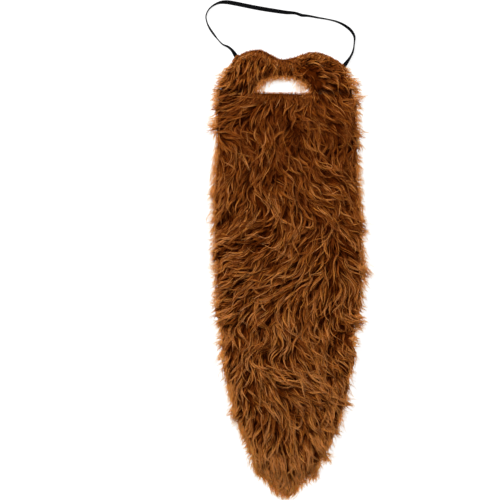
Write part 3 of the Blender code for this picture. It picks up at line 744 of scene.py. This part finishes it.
def comb_fields():
    """The comb table as two fields, the cosine and the sine of the hair's heading."""
    px = PHOTO_MIDDLE + (field_x - PHOTO_AT[0]) / PHOTO_PIXEL
    py = PHOTO_MIDDLE - (field_y - PHOTO_AT[1]) / PHOTO_PIXEL
    turns = np.radians(list(COMB.values()))
    fields = []
    for table in (np.cos(turns), np.sin(turns)):
        across = np.array([np.interp(px, COMB_COLUMNS, row) for row in table])
        down = np.array([np.interp(py, list(COMB), column) for column in across.T]).T
        fields.append(blurred(down, COMB_ROUNDS))
    return fields


def allowed_reach(growth, chance, x, y, root_y):
    """How far past the pile's outline a wisp may reach: hardly at all at the trimmed edges."""
    sides = chance.uniform(growth.reach_low, growth.reach_high, len(root_y))[:, None] * MM
    corners = (hole_left, hole_left + MOUTH_CORNER_WIDTH, hole_right - MOUTH_CORNER_WIDTH, hole_right)
    fringe = sides * (1 if growth.zone == "corner" else np.interp(x, corners, MOUTH_CORNER_REACH))
    over_mouth = (x > hole_left) & (x < hole_right) & (y > hole_low) & (y < hole_high)
    hanging = over_mouth & (root_y[:, None] > LIP_HEIGHT)
    trimmed = chance.uniform(*TRIM_REACH, len(root_y))[:, None]
    lip = chance.uniform(*LIP_REACH, len(root_y))[:, None]
    reach = np.where(over_mouth, np.where(hanging, fringe, lip), sides)
    return np.where(y > TOP_EDGE_FROM, trimmed, reach)


def rooted(growth, chance, x, y):
    """Which of the places are in a growth's part of the cloth."""
    edge = read(cloth_depth, x, y)
    clear = read(trim_far, x, y)
    inside = read(fur_depth, x, y)
    from_hole = read(hole_far, x, y)
    on_pile = (inside > ROOT_INSIDE) & ((edge > -ROOT_PAST_CLOTH) | (y < TIP_FROM))
    if growth.zone == "under":
        return on_pile & (edge > UNDER_FROM[0]) & (clear > UNDER_FROM[1])
    if growth.zone == "long":
        return on_pile & (clear > chance.uniform(*LONG_FROM, x.size))
    if growth.zone == "rim":
        near = on_pile & (inside < FRINGE_FROM) & (edge < FRINGE_FROM)
        return near & (clear > FRINGE_CLEAR) & (from_hole > RIM_WIDTH)
    if growth.zone == "haze":
        return on_pile & (inside < HAZE_FROM) & (clear > HAZE_CLEAR) & (from_hole > RIM_WIDTH)
    if growth.zone == "trimmed":
        near = (clear < chance.uniform(*TRIMMED_WIDTH, x.size)) & (clear > 0)
        return near & (edge > -TRIMMED_PAST_CLOTH)
    if growth.zone == "fuzz":
        return (edge > FUZZ_EDGE[0]) & (edge < FUZZ_EDGE[1]) & (clear < FUZZ_WIDTH)
    over_hole = (from_hole < RIM_WIDTH) & (y > LIP_HEIGHT) & (edge > 0)
    if growth.zone == "corner":
        over_hole &= (x < hole_left + MOUTH_CORNER_WIDTH) | (x > hole_right - MOUTH_CORNER_WIDTH)
    return over_hole


def grow_wisps(growth):
    """The guide line of each wisp of one growth, and how much of it is kept."""
    chance = np.random.default_rng(growth.seed)
    spacing = growth.spacing * MM
    xs = np.arange(FIELD_LOW[0], FIELD_HIGH[0], spacing)
    ys = np.arange(FIELD_LOW[1], FIELD_HIGH[1], spacing)
    root_x, root_y = (places.ravel() for places in np.meshgrid(xs, ys))
    root_x = root_x + chance.uniform(-ROOT_SCATTER, ROOT_SCATTER, root_x.size) * spacing
    root_y = root_y + chance.uniform(-ROOT_SCATTER, ROOT_SCATTER, root_y.size) * spacing
    keep = rooted(growth, chance, root_x, root_y)
    root_x, root_y = root_x[keep], root_y[keep]
    count = root_x.size
    length = growth.length * MM * chance.uniform(*LENGTHS, count)
    length *= np.where(root_y > mouth_line, MOUSTACHE_LENGTH, 1.0)
    crimp = read(crimp_drift, root_x, root_y) + chance.normal(0, CRIMP_STRAYS, count)
    crimp = np.interp(crimp, (-1, 1), CRIMP_LENGTH)
    turn = read(turn_drift, root_x, root_y) + chance.normal(0, CRIMP_STRAYS, count)
    turn = np.interp(turn, (-1, 1), CRIMP_TURN)
    phase = math.pi * 2 * read(phase_drift, root_x, root_y) + chance.normal(0, PHASE_STRAYS, count)
    lean = read(lean_drift, root_x, root_y) * LEAN + chance.normal(0, growth.unruly, count)
    curl = chance.normal(0, CURL, count)
    x = np.empty((count, GUIDE_STEPS))
    y = np.empty((count, GUIDE_STEPS))
    x[:, 0], y[:, 0] = root_x, root_y
    stride = length / (GUIDE_STEPS - 1)
    for k in range(1, GUIDE_STEPS):
        gone = stride * k
        here = (x[:, k - 1], y[:, k - 1])
        base = np.arctan2(read(comb_sine, *here), read(comb_cosine, *here))
        wave = turn * np.sin(gone / crimp * 2 * math.pi + phase)
        if growth.outward:
            pull = growth.outward / (1 - growth.outward)
            up = np.sin(base) - read(slope_y, *here) * pull
            base = np.arctan2(up, np.cos(base) - read(slope_x, *here) * pull)
        heading = base + lean + wave + curl * gone
        x[:, k] = x[:, k - 1] + np.cos(heading) * stride
        y[:, k] = y[:, k - 1] + np.sin(heading) * stride
    return lay_wisps(growth, chance, x, y, length)


def lay_wisps(growth, chance, x, y, length):
    """Cuts each wisp off where the fringe ends, and gives it its height in the pile."""
    past = -read(fur_depth, x, y) > allowed_reach(growth, chance, x, y, y[:, 0])
    first = np.where(past.any(axis=1), past.argmax(axis=1), GUIDE_STEPS)
    kept = np.clip((first - 1) / (GUIDE_STEPS - 1), 0, 1)
    steps = np.linspace(0, 1, GUIDE_STEPS)
    depth = growth.depth * MM + chance.normal(0, DEPTH_STRAYS, len(x))
    rise = eased(np.clip(steps / ROOT_RISE, 0, 1))
    arch = np.sin(steps * math.pi) * growth.arch * MM - steps**3 * TIP_DROP
    z = read(fur_height, x, y) + depth[:, None] - growth.sink * MM * (1 - rise) + arch
    z = np.maximum(z, LOWEST_HAIR + chance.uniform(0, FLOOR_STRAYS, len(x))[:, None])
    guides = np.stack((x, y, z), axis=2)
    enough = kept * length > min(SHORTEST_WISP, growth.length * MM / 3)
    return guides[enough], kept[enough], chance


def grow_tufts(growth):
    """The guide lines of the tufts' wisps, side by side at the pile and meeting at the tip."""
    chance = np.random.default_rng(growth.seed)
    steps = np.linspace(0, 1, GUIDE_STEPS)
    xs, ys, lengths = [], [], []
    for tuft in [*TUFTS, LOOSE_LOCK]:
        heading = math.radians(tuft.heading)
        for _ in range(round(tuft.width * TUFT_WISPS_PER_WIDTH)):
            reach = (tuft.length * MM + TUFT_BACK) * chance.uniform(*TUFT_REACH)
            lean = heading + chance.normal(0, growth.unruly)
            gone = steps * reach - TUFT_BACK * chance.uniform(*TUFT_ROOTS)
            aside = chance.uniform(*TUFT_BREADTH) * tuft.width * MM
            aside = aside * (1 - steps**1.5 * TUFT_NARROWING)
            aside = aside + TUFT_SWAY * np.sin(steps * 5 + chance.uniform(0, WHOLE_TURN)) * steps
            xs.append(tuft.x * MM + np.cos(lean) * gone - np.sin(lean) * aside)
            ys.append(tuft.y * MM + np.sin(lean) * gone + np.cos(lean) * aside)
            lengths.append(reach)
    return lay_wisps(growth, chance, np.array(xs), np.array(ys), np.array(lengths))


def at_share(lines, share):
    """Points along each line at shares of its run; share has a row for each line."""
    place = share * (lines.shape[1] - 1)
    low = np.clip(place.astype(int), 0, lines.shape[1] - 2)
    part = (place - low)[..., None]
    rows = np.arange(len(lines))[:, None]
    return lines[rows, low] * (1 - part) + lines[rows, low + 1] * part


def unit(vectors):
    """The same vectors, each of length one."""
    return vectors / np.maximum(np.linalg.norm(vectors, axis=-1, keepdims=True), 1e-6)


def fray(growth, guides, kept, chance):
    """The strands of each wisp: side by side at the root, drawn together at the tip."""
    wisps = np.repeat(np.arange(len(guides)), growth.strands)
    ends = kept[wisps] * chance.uniform(*STRAND_ENDS, wisps.size)
    share = np.linspace(0, 1, growth.rings)[None, :] * ends[:, None]
    lines = at_share(guides[wisps], share)
    ahead = unit(np.gradient(lines, axis=1))
    aside = unit(np.stack((-ahead[..., 1], ahead[..., 0], np.zeros(ahead.shape[:2])), axis=2))
    steps = np.linspace(0, 1, growth.rings)[None, :]
    off_middle = chance.uniform(-1, 1, (wisps.size, 1))
    spread = growth.spread * MM * off_middle * (1 - steps**1.3 * SPREAD_CLOSES)
    waves = chance.uniform(*STRAND_WAVES, (wisps.size, 1))
    starts = chance.uniform(0, WHOLE_TURN, (wisps.size, 1))
    wander = WANDER * np.sin(steps * math.pi * 2 * waves + starts)
    wander *= min(1, growth.length / LONG_ENOUGH)
    lines = lines + aside * (spread + wander)[..., None]
    lines[..., 2] += chance.normal(0, STRAND_LIFT, (wisps.size, 1)) * (1 - steps * 0.5)
    lines[..., 2] += growth.spread * CROWN * (0.4 - off_middle**2) * MM
    lines[..., 2] = np.maximum(lines[..., 2], LOWEST_HAIR)
    trimmed = growth.zone in ("trimmed", "fuzz")
    differ = SHORT_HAIR_SPREAD if trimmed or growth.zone == "under" else 1
    tone = growth.tone + chance.normal(0, WISP_TONE_SPREAD * differ, len(guides))[wisps]
    tone += chance.normal(0, STRAND_TONE_SPREAD * differ, wisps.size)
    tone = tone[:, None] * np.interp(lines[..., 1], TONE_HEIGHTS, TONE_GAINS)
    tone = np.minimum(tone, BRIGHTEST_INSIDE)
    # Painted light: where light comes through at the outline, a strand's tone is raised towards the
    # brightest, and less so at the trimmed edges.
    if trimmed:
        band, brightest = TRIMMED_GLOW
        glow = np.clip(1 - read(fur_depth, lines[..., 0], lines[..., 1]) / band, 0, 1)
    else:
        brightest = GLOW_TONE
        glow = light_through(lines[..., 0], lines[..., 1])
    tone = tone + glow * np.maximum(brightest - tone, 0)
    thinning = {"haze": HAZE_TAPER, "rim": RIM_TAPER}.get(growth.zone, TAPER)
    taper = np.interp(steps[0], TAPER_PLACES, thinning)
    width = growth.width * MM / 2 * chance.uniform(*STRAND_WIDTHS, (wisps.size, 1)) * taper
    return lines, width, np.clip(tone, *TONE_LIMITS)


def hair_arrays(lines, width, flat, chance):
    """Corners, faces and map of closed three-sided strands that end in a point."""
    count, rings = lines.shape[:2]
    ahead = unit(np.gradient(lines, axis=1))
    side = unit(np.cross(ahead, (0, 0, 1)))
    up = np.cross(side, ahead)
    roll = chance.uniform(0, 2 * math.pi / 3, (count, 1))
    tubes = []
    for corner in range(3):
        turn = (roll + corner * 2 * math.pi / 3)[..., None]
        tubes.append(lines + (side * np.cos(turn) + up * np.sin(turn) * flat) * width[..., None])
    body = np.stack(tubes, axis=2)[:, :-1].reshape(count, -1, 3)
    corners = np.concatenate((body, lines[:, -1:]), axis=1)
    per_strand = corners.shape[1]
    sides = []
    marks = []
    for ring in range(rings - 2):
        for corner in range(3):
            other = (corner + 1) % 3
            low, high = ring * 3, ring * 3 + 3
            sides.append((low + corner, low + other, high + other, high + corner))
            marks.append([(corner, ring), (corner + 1, ring), (corner + 1, ring + 1), (corner, ring + 1)])
    last = (rings - 2) * 3
    for corner in range(3):
        other = (corner + 1) % 3
        sides.append((last + corner, last + other, per_strand - 1))
        marks.append([(corner, rings - 2), (corner + 1, rings - 2), (corner + 0.5, rings - 1)])
    sides.append((2, 1, 0))
    marks.append([(0, 0), (3, 0), (1.5, 0)])
    return corners, sides, marks, per_strand


def add_strands(gathered, growth, keep, lines, width, tone, chance):
    """Adds one growth's strands to a piece's gathered arrays."""
    corners, sides, marks, per_strand = hair_arrays(lines[keep], width[keep], growth.flat, chance)
    count = len(corners)
    start = sum(len(block) for block in gathered["corners"])
    sizes = np.array([len(face) for face in sides])
    flat = np.array([k for face in sides for k in face])
    offsets = start + np.arange(count)[:, None] * per_strand
    gathered["corners"].append(corners.reshape(-1, 3))
    gathered["loops"].append((flat[None, :] + offsets).ravel())
    gathered["sizes"].append(np.tile(sizes, count))
    mark = np.array([pair for face in marks for pair in face], float)
    ring = mark[:, 1].astype(int)
    u = tone[keep][:, ring] + mark[None, :, 0] * MAP_STRAND
    along = growth.shown + ring / (growth.rings - 1) * (1 - growth.shown)
    v = MAP_MARGIN + along * (1 - 2 * MAP_MARGIN) + (mark[:, 0] == 1.5) * MAP_STRAND
    v = np.broadcast_to(v, u.shape)
    gathered["map"].append(np.stack((u, v), axis=2).reshape(-1, 2))


def make_hair(name, gathered, material):
    """One joined mesh of strands from its arrays."""
    corners = np.concatenate(gathered["corners"])
    loops = np.concatenate(gathered["loops"])
    sizes = np.concatenate(gathered["sizes"])
    mesh = bpy.data.meshes.new(name)
    mesh.vertices.add(len(corners))
    mesh.vertices.foreach_set("co", corners.astype(np.float32).ravel())
    mesh.loops.add(len(loops))
    mesh.loops.foreach_set("vertex_index", loops.astype(np.int32))
    mesh.polygons.add(len(sizes))
    starts = np.concatenate(([0], np.cumsum(sizes)[:-1]))
    mesh.polygons.foreach_set("loop_start", starts.astype(np.int32))
    mesh.uv_layers.new(name="OFBake")
    mesh.update(calc_edges=True)
    marks = np.concatenate(gathered["map"]).astype(np.float32)
    mesh.uv_layers["OFBake"].uv.foreach_set("vector", marks.ravel())
    mesh.shade_smooth()
    mesh.materials.append(material)
    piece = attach(placed(name, mesh), "root")


comb_cosine, comb_sine = comb_fields()
crimp_drift = drift(*CRIMP_DRIFT)
turn_drift = drift(*TURN_DRIFT)
phase_drift = drift(*PHASE_DRIFT)
lean_drift = drift(*LEAN_DRIFT)
slope_y, slope_x = np.gradient(blurred(fur_depth, OUTWARD_ROUNDS), FIELD_STEP)
hair_blocks = {}
for growth in GROWTHS:
    grow = grow_tufts if growth.zone == "tuft" else grow_wisps
    guides, kept, chance = grow(growth)
    lines, width, tone = fray(growth, guides, kept, chance)
    bands = HAIR_PIECES
    if growth.zone in OWN_PIECES:
        bands = [HairPiece(OWN_PIECES[growth.zone], *ALL_HEIGHTS)]
    for piece in bands:
        nothing_yet = {"corners": [], "loops": [], "sizes": [], "map": []}
        gathered = hair_blocks.setdefault(piece.name, nothing_yet)
        root_y = lines[:, 0, 1]
        here = (root_y > piece.low * MM) & (root_y <= piece.high * MM)
        if here.any():
            add_strands(gathered, growth, here, lines, width, tone, chance)
long_hair = hair_finish()
for name, gathered in hair_blocks.items():
    make_hair(name, gathered, long_hair)

# The head elastic: a flat braided band, 6 mm wide, dyed black. It runs from tack to tack in one
# loop, turned on its edge where it bends, and both its ends are hidden in the moustache.
BAND_WIDTH = 6 * MM
BAND_THICKNESS = 1 * MM
BAND_POINTS = 150
BAND_SEAT = 1.8 * MM
BAND_BLACK = (0.0022, 0.0022, 0.0026, 1)
BAND_CROWN_SHEEN = (0.010, 0.010, 0.012, 1)
BAND_RIBS = 9
BRAID_LENGTH = 1.3 * MM
BRAID_SLANT = 9.0
BRAID_RELIEF = 0.22 * MM
SECTION_CORNERS = 20
SELVEDGE_SOFT = (0.45, 0.75)
# Its way: x and y in millimetres, how far it is turned on its edge, in degrees, and its height
# from 0 on the table to 1 on the cloth.
BAND_ROUTE = [
    (-63.0, 292.0, 0, 1),
    (-68.0, 298.0, 0, 1),
    (-73.0, 304.5, 14, 1),
    (-78.5, 312.5, 48, 0.5),
    (-84.0, 317.2, 56, 0),
    (-91.0, 320.2, 68, 0),
    (-97.5, 326.6, 76, 0),
    (-104.0, 334.8, 62, 0),
    (-109.5, 342.8, 64, 0),
    (-113.5, 351.5, 76, 0),
    (-114.8, 359.6, 80, 0),
    (-112.0, 367.6, 82, 0),
    (-104.7, 374.8, 76, 0),
    (-95.9, 378.8, 60, 0),
    (-87.0, 379.7, 30, 0),
    (-75.0, 378.1, 8, 0),
    (-59.0, 374.9, 0, 0),
    (-43.0, 371.7, 6, 0),
    (-18.8, 367.6, 24, 0),
    (-2.8, 365.2, 40, 0),
    (11.6, 363.8, 58, 0),
    (19.2, 361.2, 54, 0),
    (26.7, 360.5, 66, 0),
    (41.9, 357.8, 76, 0),
    (57.1, 355.1, 82, 0),
    (68.5, 352.1, 74, 0),
    (79.8, 346.5, 62, 0),
    (88.2, 339.6, 56, 0),
    (92.8, 331.2, 66, 0),
    (92.6, 322.0, 78, 0),
    (90.0, 308.5, 66, 0),
    (85.0, 299.5, 52, 0.4),
    (79.3, 291.5, 14, 1),
    (75.2, 285.0, 0, 1),
    (71.2, 279.0, 0, 1),
]


def smooth_values(places, values, at):
    """A smooth curve through a table's values, read at a place between them."""
    slopes = np.gradient(values, places)
    k = int(np.clip(np.searchsorted(places, at) - 1, 0, len(places) - 2))
    width = places[k + 1] - places[k]
    t = (at - places[k]) / width
    start = values[k] * (2 * t**3 - 3 * t**2 + 1) + slopes[k] * width * (t**3 - 2 * t**2 + t)
    end = values[k + 1] * (3 * t**2 - 2 * t**3) + slopes[k + 1] * width * (t**3 - t**2)
    return start + end


def band_line():
    """The band's centre line as (place, turn) rows of one smooth curve through the route."""
    table = np.array(BAND_ROUTE, float)
    runs = np.hypot(*np.diff(table[:, :2], axis=0).T)
    along = np.concatenate(([0], np.cumsum(runs)))
    line = []
    for at in np.linspace(0, along[-1], BAND_POINTS):
        x, y, turn, raised = (smooth_values(along, table[:, k], at) for k in range(4))
        turn = math.radians(max(turn, 0))
        raised = min(max(raised, 0), 1)
        lying = (BAND_WIDTH * math.sin(turn) + BAND_THICKNESS * math.cos(turn)) / 2
        line.append((Vector((x * MM, y * MM, lying + BAND_SEAT * raised)), turn))
    return line


def band_finish():
    finish = Finish("braided_elastic", Roughness=0.7, Specular_IOR_Level=0.03)
    place = finish.node("UVMap", {"uv_map": "braid"}, {})
    across, along, _ = parts_of(finish, place)
    rib = (across * (math.pi * BAND_RIBS)).sine().size()
    lengthwise = along * (math.pi / BRAID_LENGTH)
    slanted = across * BRAID_SLANT
    braid = (lengthwise + slanted).sine() * (lengthwise - slanted).sine()
    lint = finish.node("TexNoise", {}, {"Vector": place, "Scale": 700.0, "Detail": 2.0})
    yarn = rib * 0.7 + braid * 0.3
    # Painted sheen: the black yarn is painted grey on its rib and braid crowns, flecked at random by the
    # lint.
    finish.set("Base Color", finish.mixed(yarn * lint, BAND_BLACK, BAND_CROWN_SHEEN))
    finish.bump(yarn, BRAID_RELIEF)
    return finish.material


def lay_run(curve, places):
    """One run of short straight stretches on a curve, through its places."""
    run = curve.splines.new("POLY")
    run.points.add(len(places) - 1)
    for point, place in zip(run.points, places):
        point.co = (*place, 1)
    return run


def band_section():
    """The band's flat section, with soft selvedges."""
    curve = bpy.data.curves.new("band_section", "CURVE")
    curve.dimensions = "2D"
    corners = []
    soft_x, soft_y = SELVEDGE_SOFT
    for turn in np.linspace(0, 2 * math.pi, SECTION_CORNERS, endpoint=False):
        c, s = math.cos(turn), math.sin(turn)
        x = math.copysign(abs(c) ** soft_x, c) * BAND_WIDTH / 2
        y = math.copysign(abs(s) ** soft_y, s) * BAND_THICKNESS / 2
        corners.append((x, y, 0))
    lay_run(curve, corners).use_cyclic_u = True
    return placed("band_section", curve)


def curve_mesh(guide, material):
    """A curve's evaluated shape as a welded mesh with smooth faces; the curve is removed."""
    bpy.context.view_layer.update()
    evaluated = guide.evaluated_get(bpy.context.evaluated_depsgraph_get())
    mesh = bpy.data.meshes.new_from_object(evaluated)
    bpy.data.objects.remove(guide, do_unlink=True)
    form = bmesh.new()
    form.from_mesh(mesh)
    bmesh.ops.remove_doubles(form, verts=form.verts, dist=WELD)
    bmesh.ops.recalc_face_normals(form, faces=form.faces)
    form.to_mesh(mesh)
    form.free()
    mesh.materials.clear()
    mesh.materials.append(material)
    mesh.shade_smooth()
    return mesh


def make_band(line):
    section = band_section()
    curve = bpy.data.curves.new("band_route", "CURVE")
    curve.dimensions = "3D"
    curve.twist_mode = "Z_UP"
    curve.bevel_mode = "OBJECT"
    curve.bevel_object = section
    curve.use_fill_caps = True
    run = lay_run(curve, [place for place, _ in line])
    for point, (_, turn) in zip(run.points, line):
        point.tilt = turn
    mesh = curve_mesh(placed("band_route", curve), band_finish())
    bpy.data.objects.remove(section, do_unlink=True)
    centres = np.array([place[:] for place, _ in line])
    turns = np.array([turn for _, turn in line])
    ahead = unit(np.gradient(centres, axis=0))
    level = unit(np.cross(ahead, (0, 0, 1)))
    raised = np.cross(level, ahead)
    broad = level * np.cos(turns)[:, None] + raised * np.sin(turns)[:, None]
    gone = np.concatenate(([0], np.cumsum(np.linalg.norm(np.diff(centres, axis=0), axis=1))))
    corners = np.array([corner.co[:] for corner in mesh.vertices])
    nearest = np.argmin(((corners[:, None] - centres[None]) ** 2).sum(axis=2), axis=1)
    offset = corners - centres[nearest]
    across = 0.5 + (offset * broad[nearest]).sum(axis=1) / BAND_WIDTH
    while mesh.uv_layers:
        mesh.uv_layers.remove(mesh.uv_layers[0])
    braid = mesh.uv_layers.new(name="braid")
    for loop in mesh.loops:
        k = loop.vertex_index
        braid.uv[loop.index].vector = (across[k], gone[nearest[k]])
    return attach(placed("head_elastic", mesh), "root"), centres, gone[-1]


head_elastic, band_centres, band_length = make_band(band_line())
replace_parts(head_elastic, "elastic_strap")
tuple(band_centres[0])
[tuple(place) for place in band_centres]

# The tacks: a few turns of black sewing thread over each end of the band, down into the cloth on
# both sides of it, drawn tight and close together.
TACK_FROM_END = 5 * MM
TACK_HALF = 4.3 * MM
TACK_TURNS = 4
TACK_PITCH = 0.42 * MM
TACK_SLANT = 0.25
TACK_SEED = 31
THREAD_RADIUS = 0.24 * MM
THREAD_RELIEF = 0.08 * MM
THREAD_BLACK = (0.008, 0.008, 0.009, 1)
THREAD_GREY = (0.03, 0.03, 0.033, 1)


def thread_finish():
    finish = Finish("sewing_thread", Roughness=0.5, Specular_IOR_Level=0.5)
    place = finish.node("TexCoord", {}, {}, 3)
    ply = finish.node("TexWave", {}, {"Vector": place, "Scale": 520.0, "Distortion": 2.0})
    # Painted sheen: the black thread is painted grey along the crowns of its ply.
    finish.set("Base Color", finish.mixed(ply, THREAD_BLACK, THREAD_GREY))
    finish.bump(ply, THREAD_RELIEF)
    return finish.material


def make_tack(name, end, onward, material):
    """Turns of thread side by side, each an arch over the band with both feet in the cloth."""
    curve = bpy.data.curves.new(name, "CURVE")
    curve.dimensions = "3D"
    curve.bevel_depth = THREAD_RADIUS
    curve.bevel_resolution = 2
    curve.use_fill_caps = True
    across = Vector((-onward.y, onward.x, 0))
    over = BAND_SEAT + BAND_THICKNESS + THREAD_RADIUS + 0.3 * MM
    foot = CLOTH_TOP + THREAD_RADIUS
    rows = [(-1.0, foot), (-0.97, foot + 0.6 * MM), (-0.86, over - 0.15 * MM), (-0.6, over)]
    rows += [(0.0, over + 0.1 * MM)] + [(-share, height) for share, height in reversed(rows)]
    chance = np.random.default_rng(TACK_SEED)
    for turn in range(TACK_TURNS):
        shift = (turn - (TACK_TURNS - 1) / 2) * TACK_PITCH
        slant = chance.uniform(-TACK_SLANT, TACK_SLANT) * MM
        places = []
        for share, height in rows:
            place = end + onward * (TACK_FROM_END + shift + slant * share) + across * TACK_HALF * share
            places.append((place.x, place.y, height))
        lay_run(curve, places)
    mesh = curve_mesh(placed(name + "_route", curve), material)
    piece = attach(placed(name, mesh), "root")
    return piece


sewing_thread = thread_finish()
for name, node, first, second in (
    ("tack_thread_left", "strap_tack_left", BAND_ROUTE[0], BAND_ROUTE[1]),
    ("tack_thread_right", "strap_tack_right", BAND_ROUTE[-1], BAND_ROUTE[-2]),
):
    end, further = (Vector((x * MM, y * MM, 0)) for x, y, *_ in (first, second))
    onward = (further - end).normalized()
    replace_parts(make_tack(name, end, onward, sewing_thread), node)

# The table and the studio: a white sweep, a broad softbox over the beard's upper left, and light
# from all round. The camera looks straight down.
FLOOR_SIZE = 4
FLOOR_BELOW = 0.2 * MM
FLOOR_WHITE = (0.22, 0.22, 0.22, 1)
FLOOR_GLOW = 0.9
STUDIO_WHITE = (1, 1, 1, 1)
ROOM_LIGHT = 0.25
CAMERA_HEIGHT = 2.6
FRAME_WIDTH = 0.7
SENSOR_WIDTH = 36

floor_form = bmesh.new()
bmesh.ops.create_grid(floor_form, x_segments=1, y_segments=1, size=FLOOR_SIZE)
bmesh.ops.translate(floor_form, vec=(0, 0, -FLOOR_BELOW), verts=floor_form.verts)
white_sweep = Finish(
    "white_sweep",
    Roughness=0.9,
    Base_Color=FLOOR_WHITE,
    Emission_Color=STUDIO_WHITE,
    Emission_Strength=FLOOR_GLOW,
)
finished("floor", floor_form, white_sweep.material)


def softbox(name, place, size, power):
    light = bpy.data.lights.new(name, "AREA")
    light.shape = "SQUARE"
    light.size = size
    light.energy = power
    lamp = placed(name, light)
    lamp.location = place
    lamp.rotation_euler = (-Vector(place)).to_track_quat("-Z", "Y").to_euler()


softbox("key", (-0.7, 1.0, 1.4), 0.4, 34)
softbox("fill", (1.2, -0.4, 1.5), 1.2, 5)
world = bpy.data.worlds.new("studio")
world.use_nodes = True
room = world.node_tree.nodes["Background"].inputs
room["Color"].default_value = STUDIO_WHITE
room["Strength"].default_value = ROOM_LIGHT
bpy.context.scene.world = world
bpy.context.scene.view_settings.view_transform = "Standard"

lens = bpy.data.cameras.new("camera")
lens.sensor_width = SENSOR_WIDTH
lens.lens = SENSOR_WIDTH * CAMERA_HEIGHT / FRAME_WIDTH
camera = placed("camera", lens)
camera.location = (*PHOTO_AT, CAMERA_HEIGHT)
bpy.context.scene.camera = camera
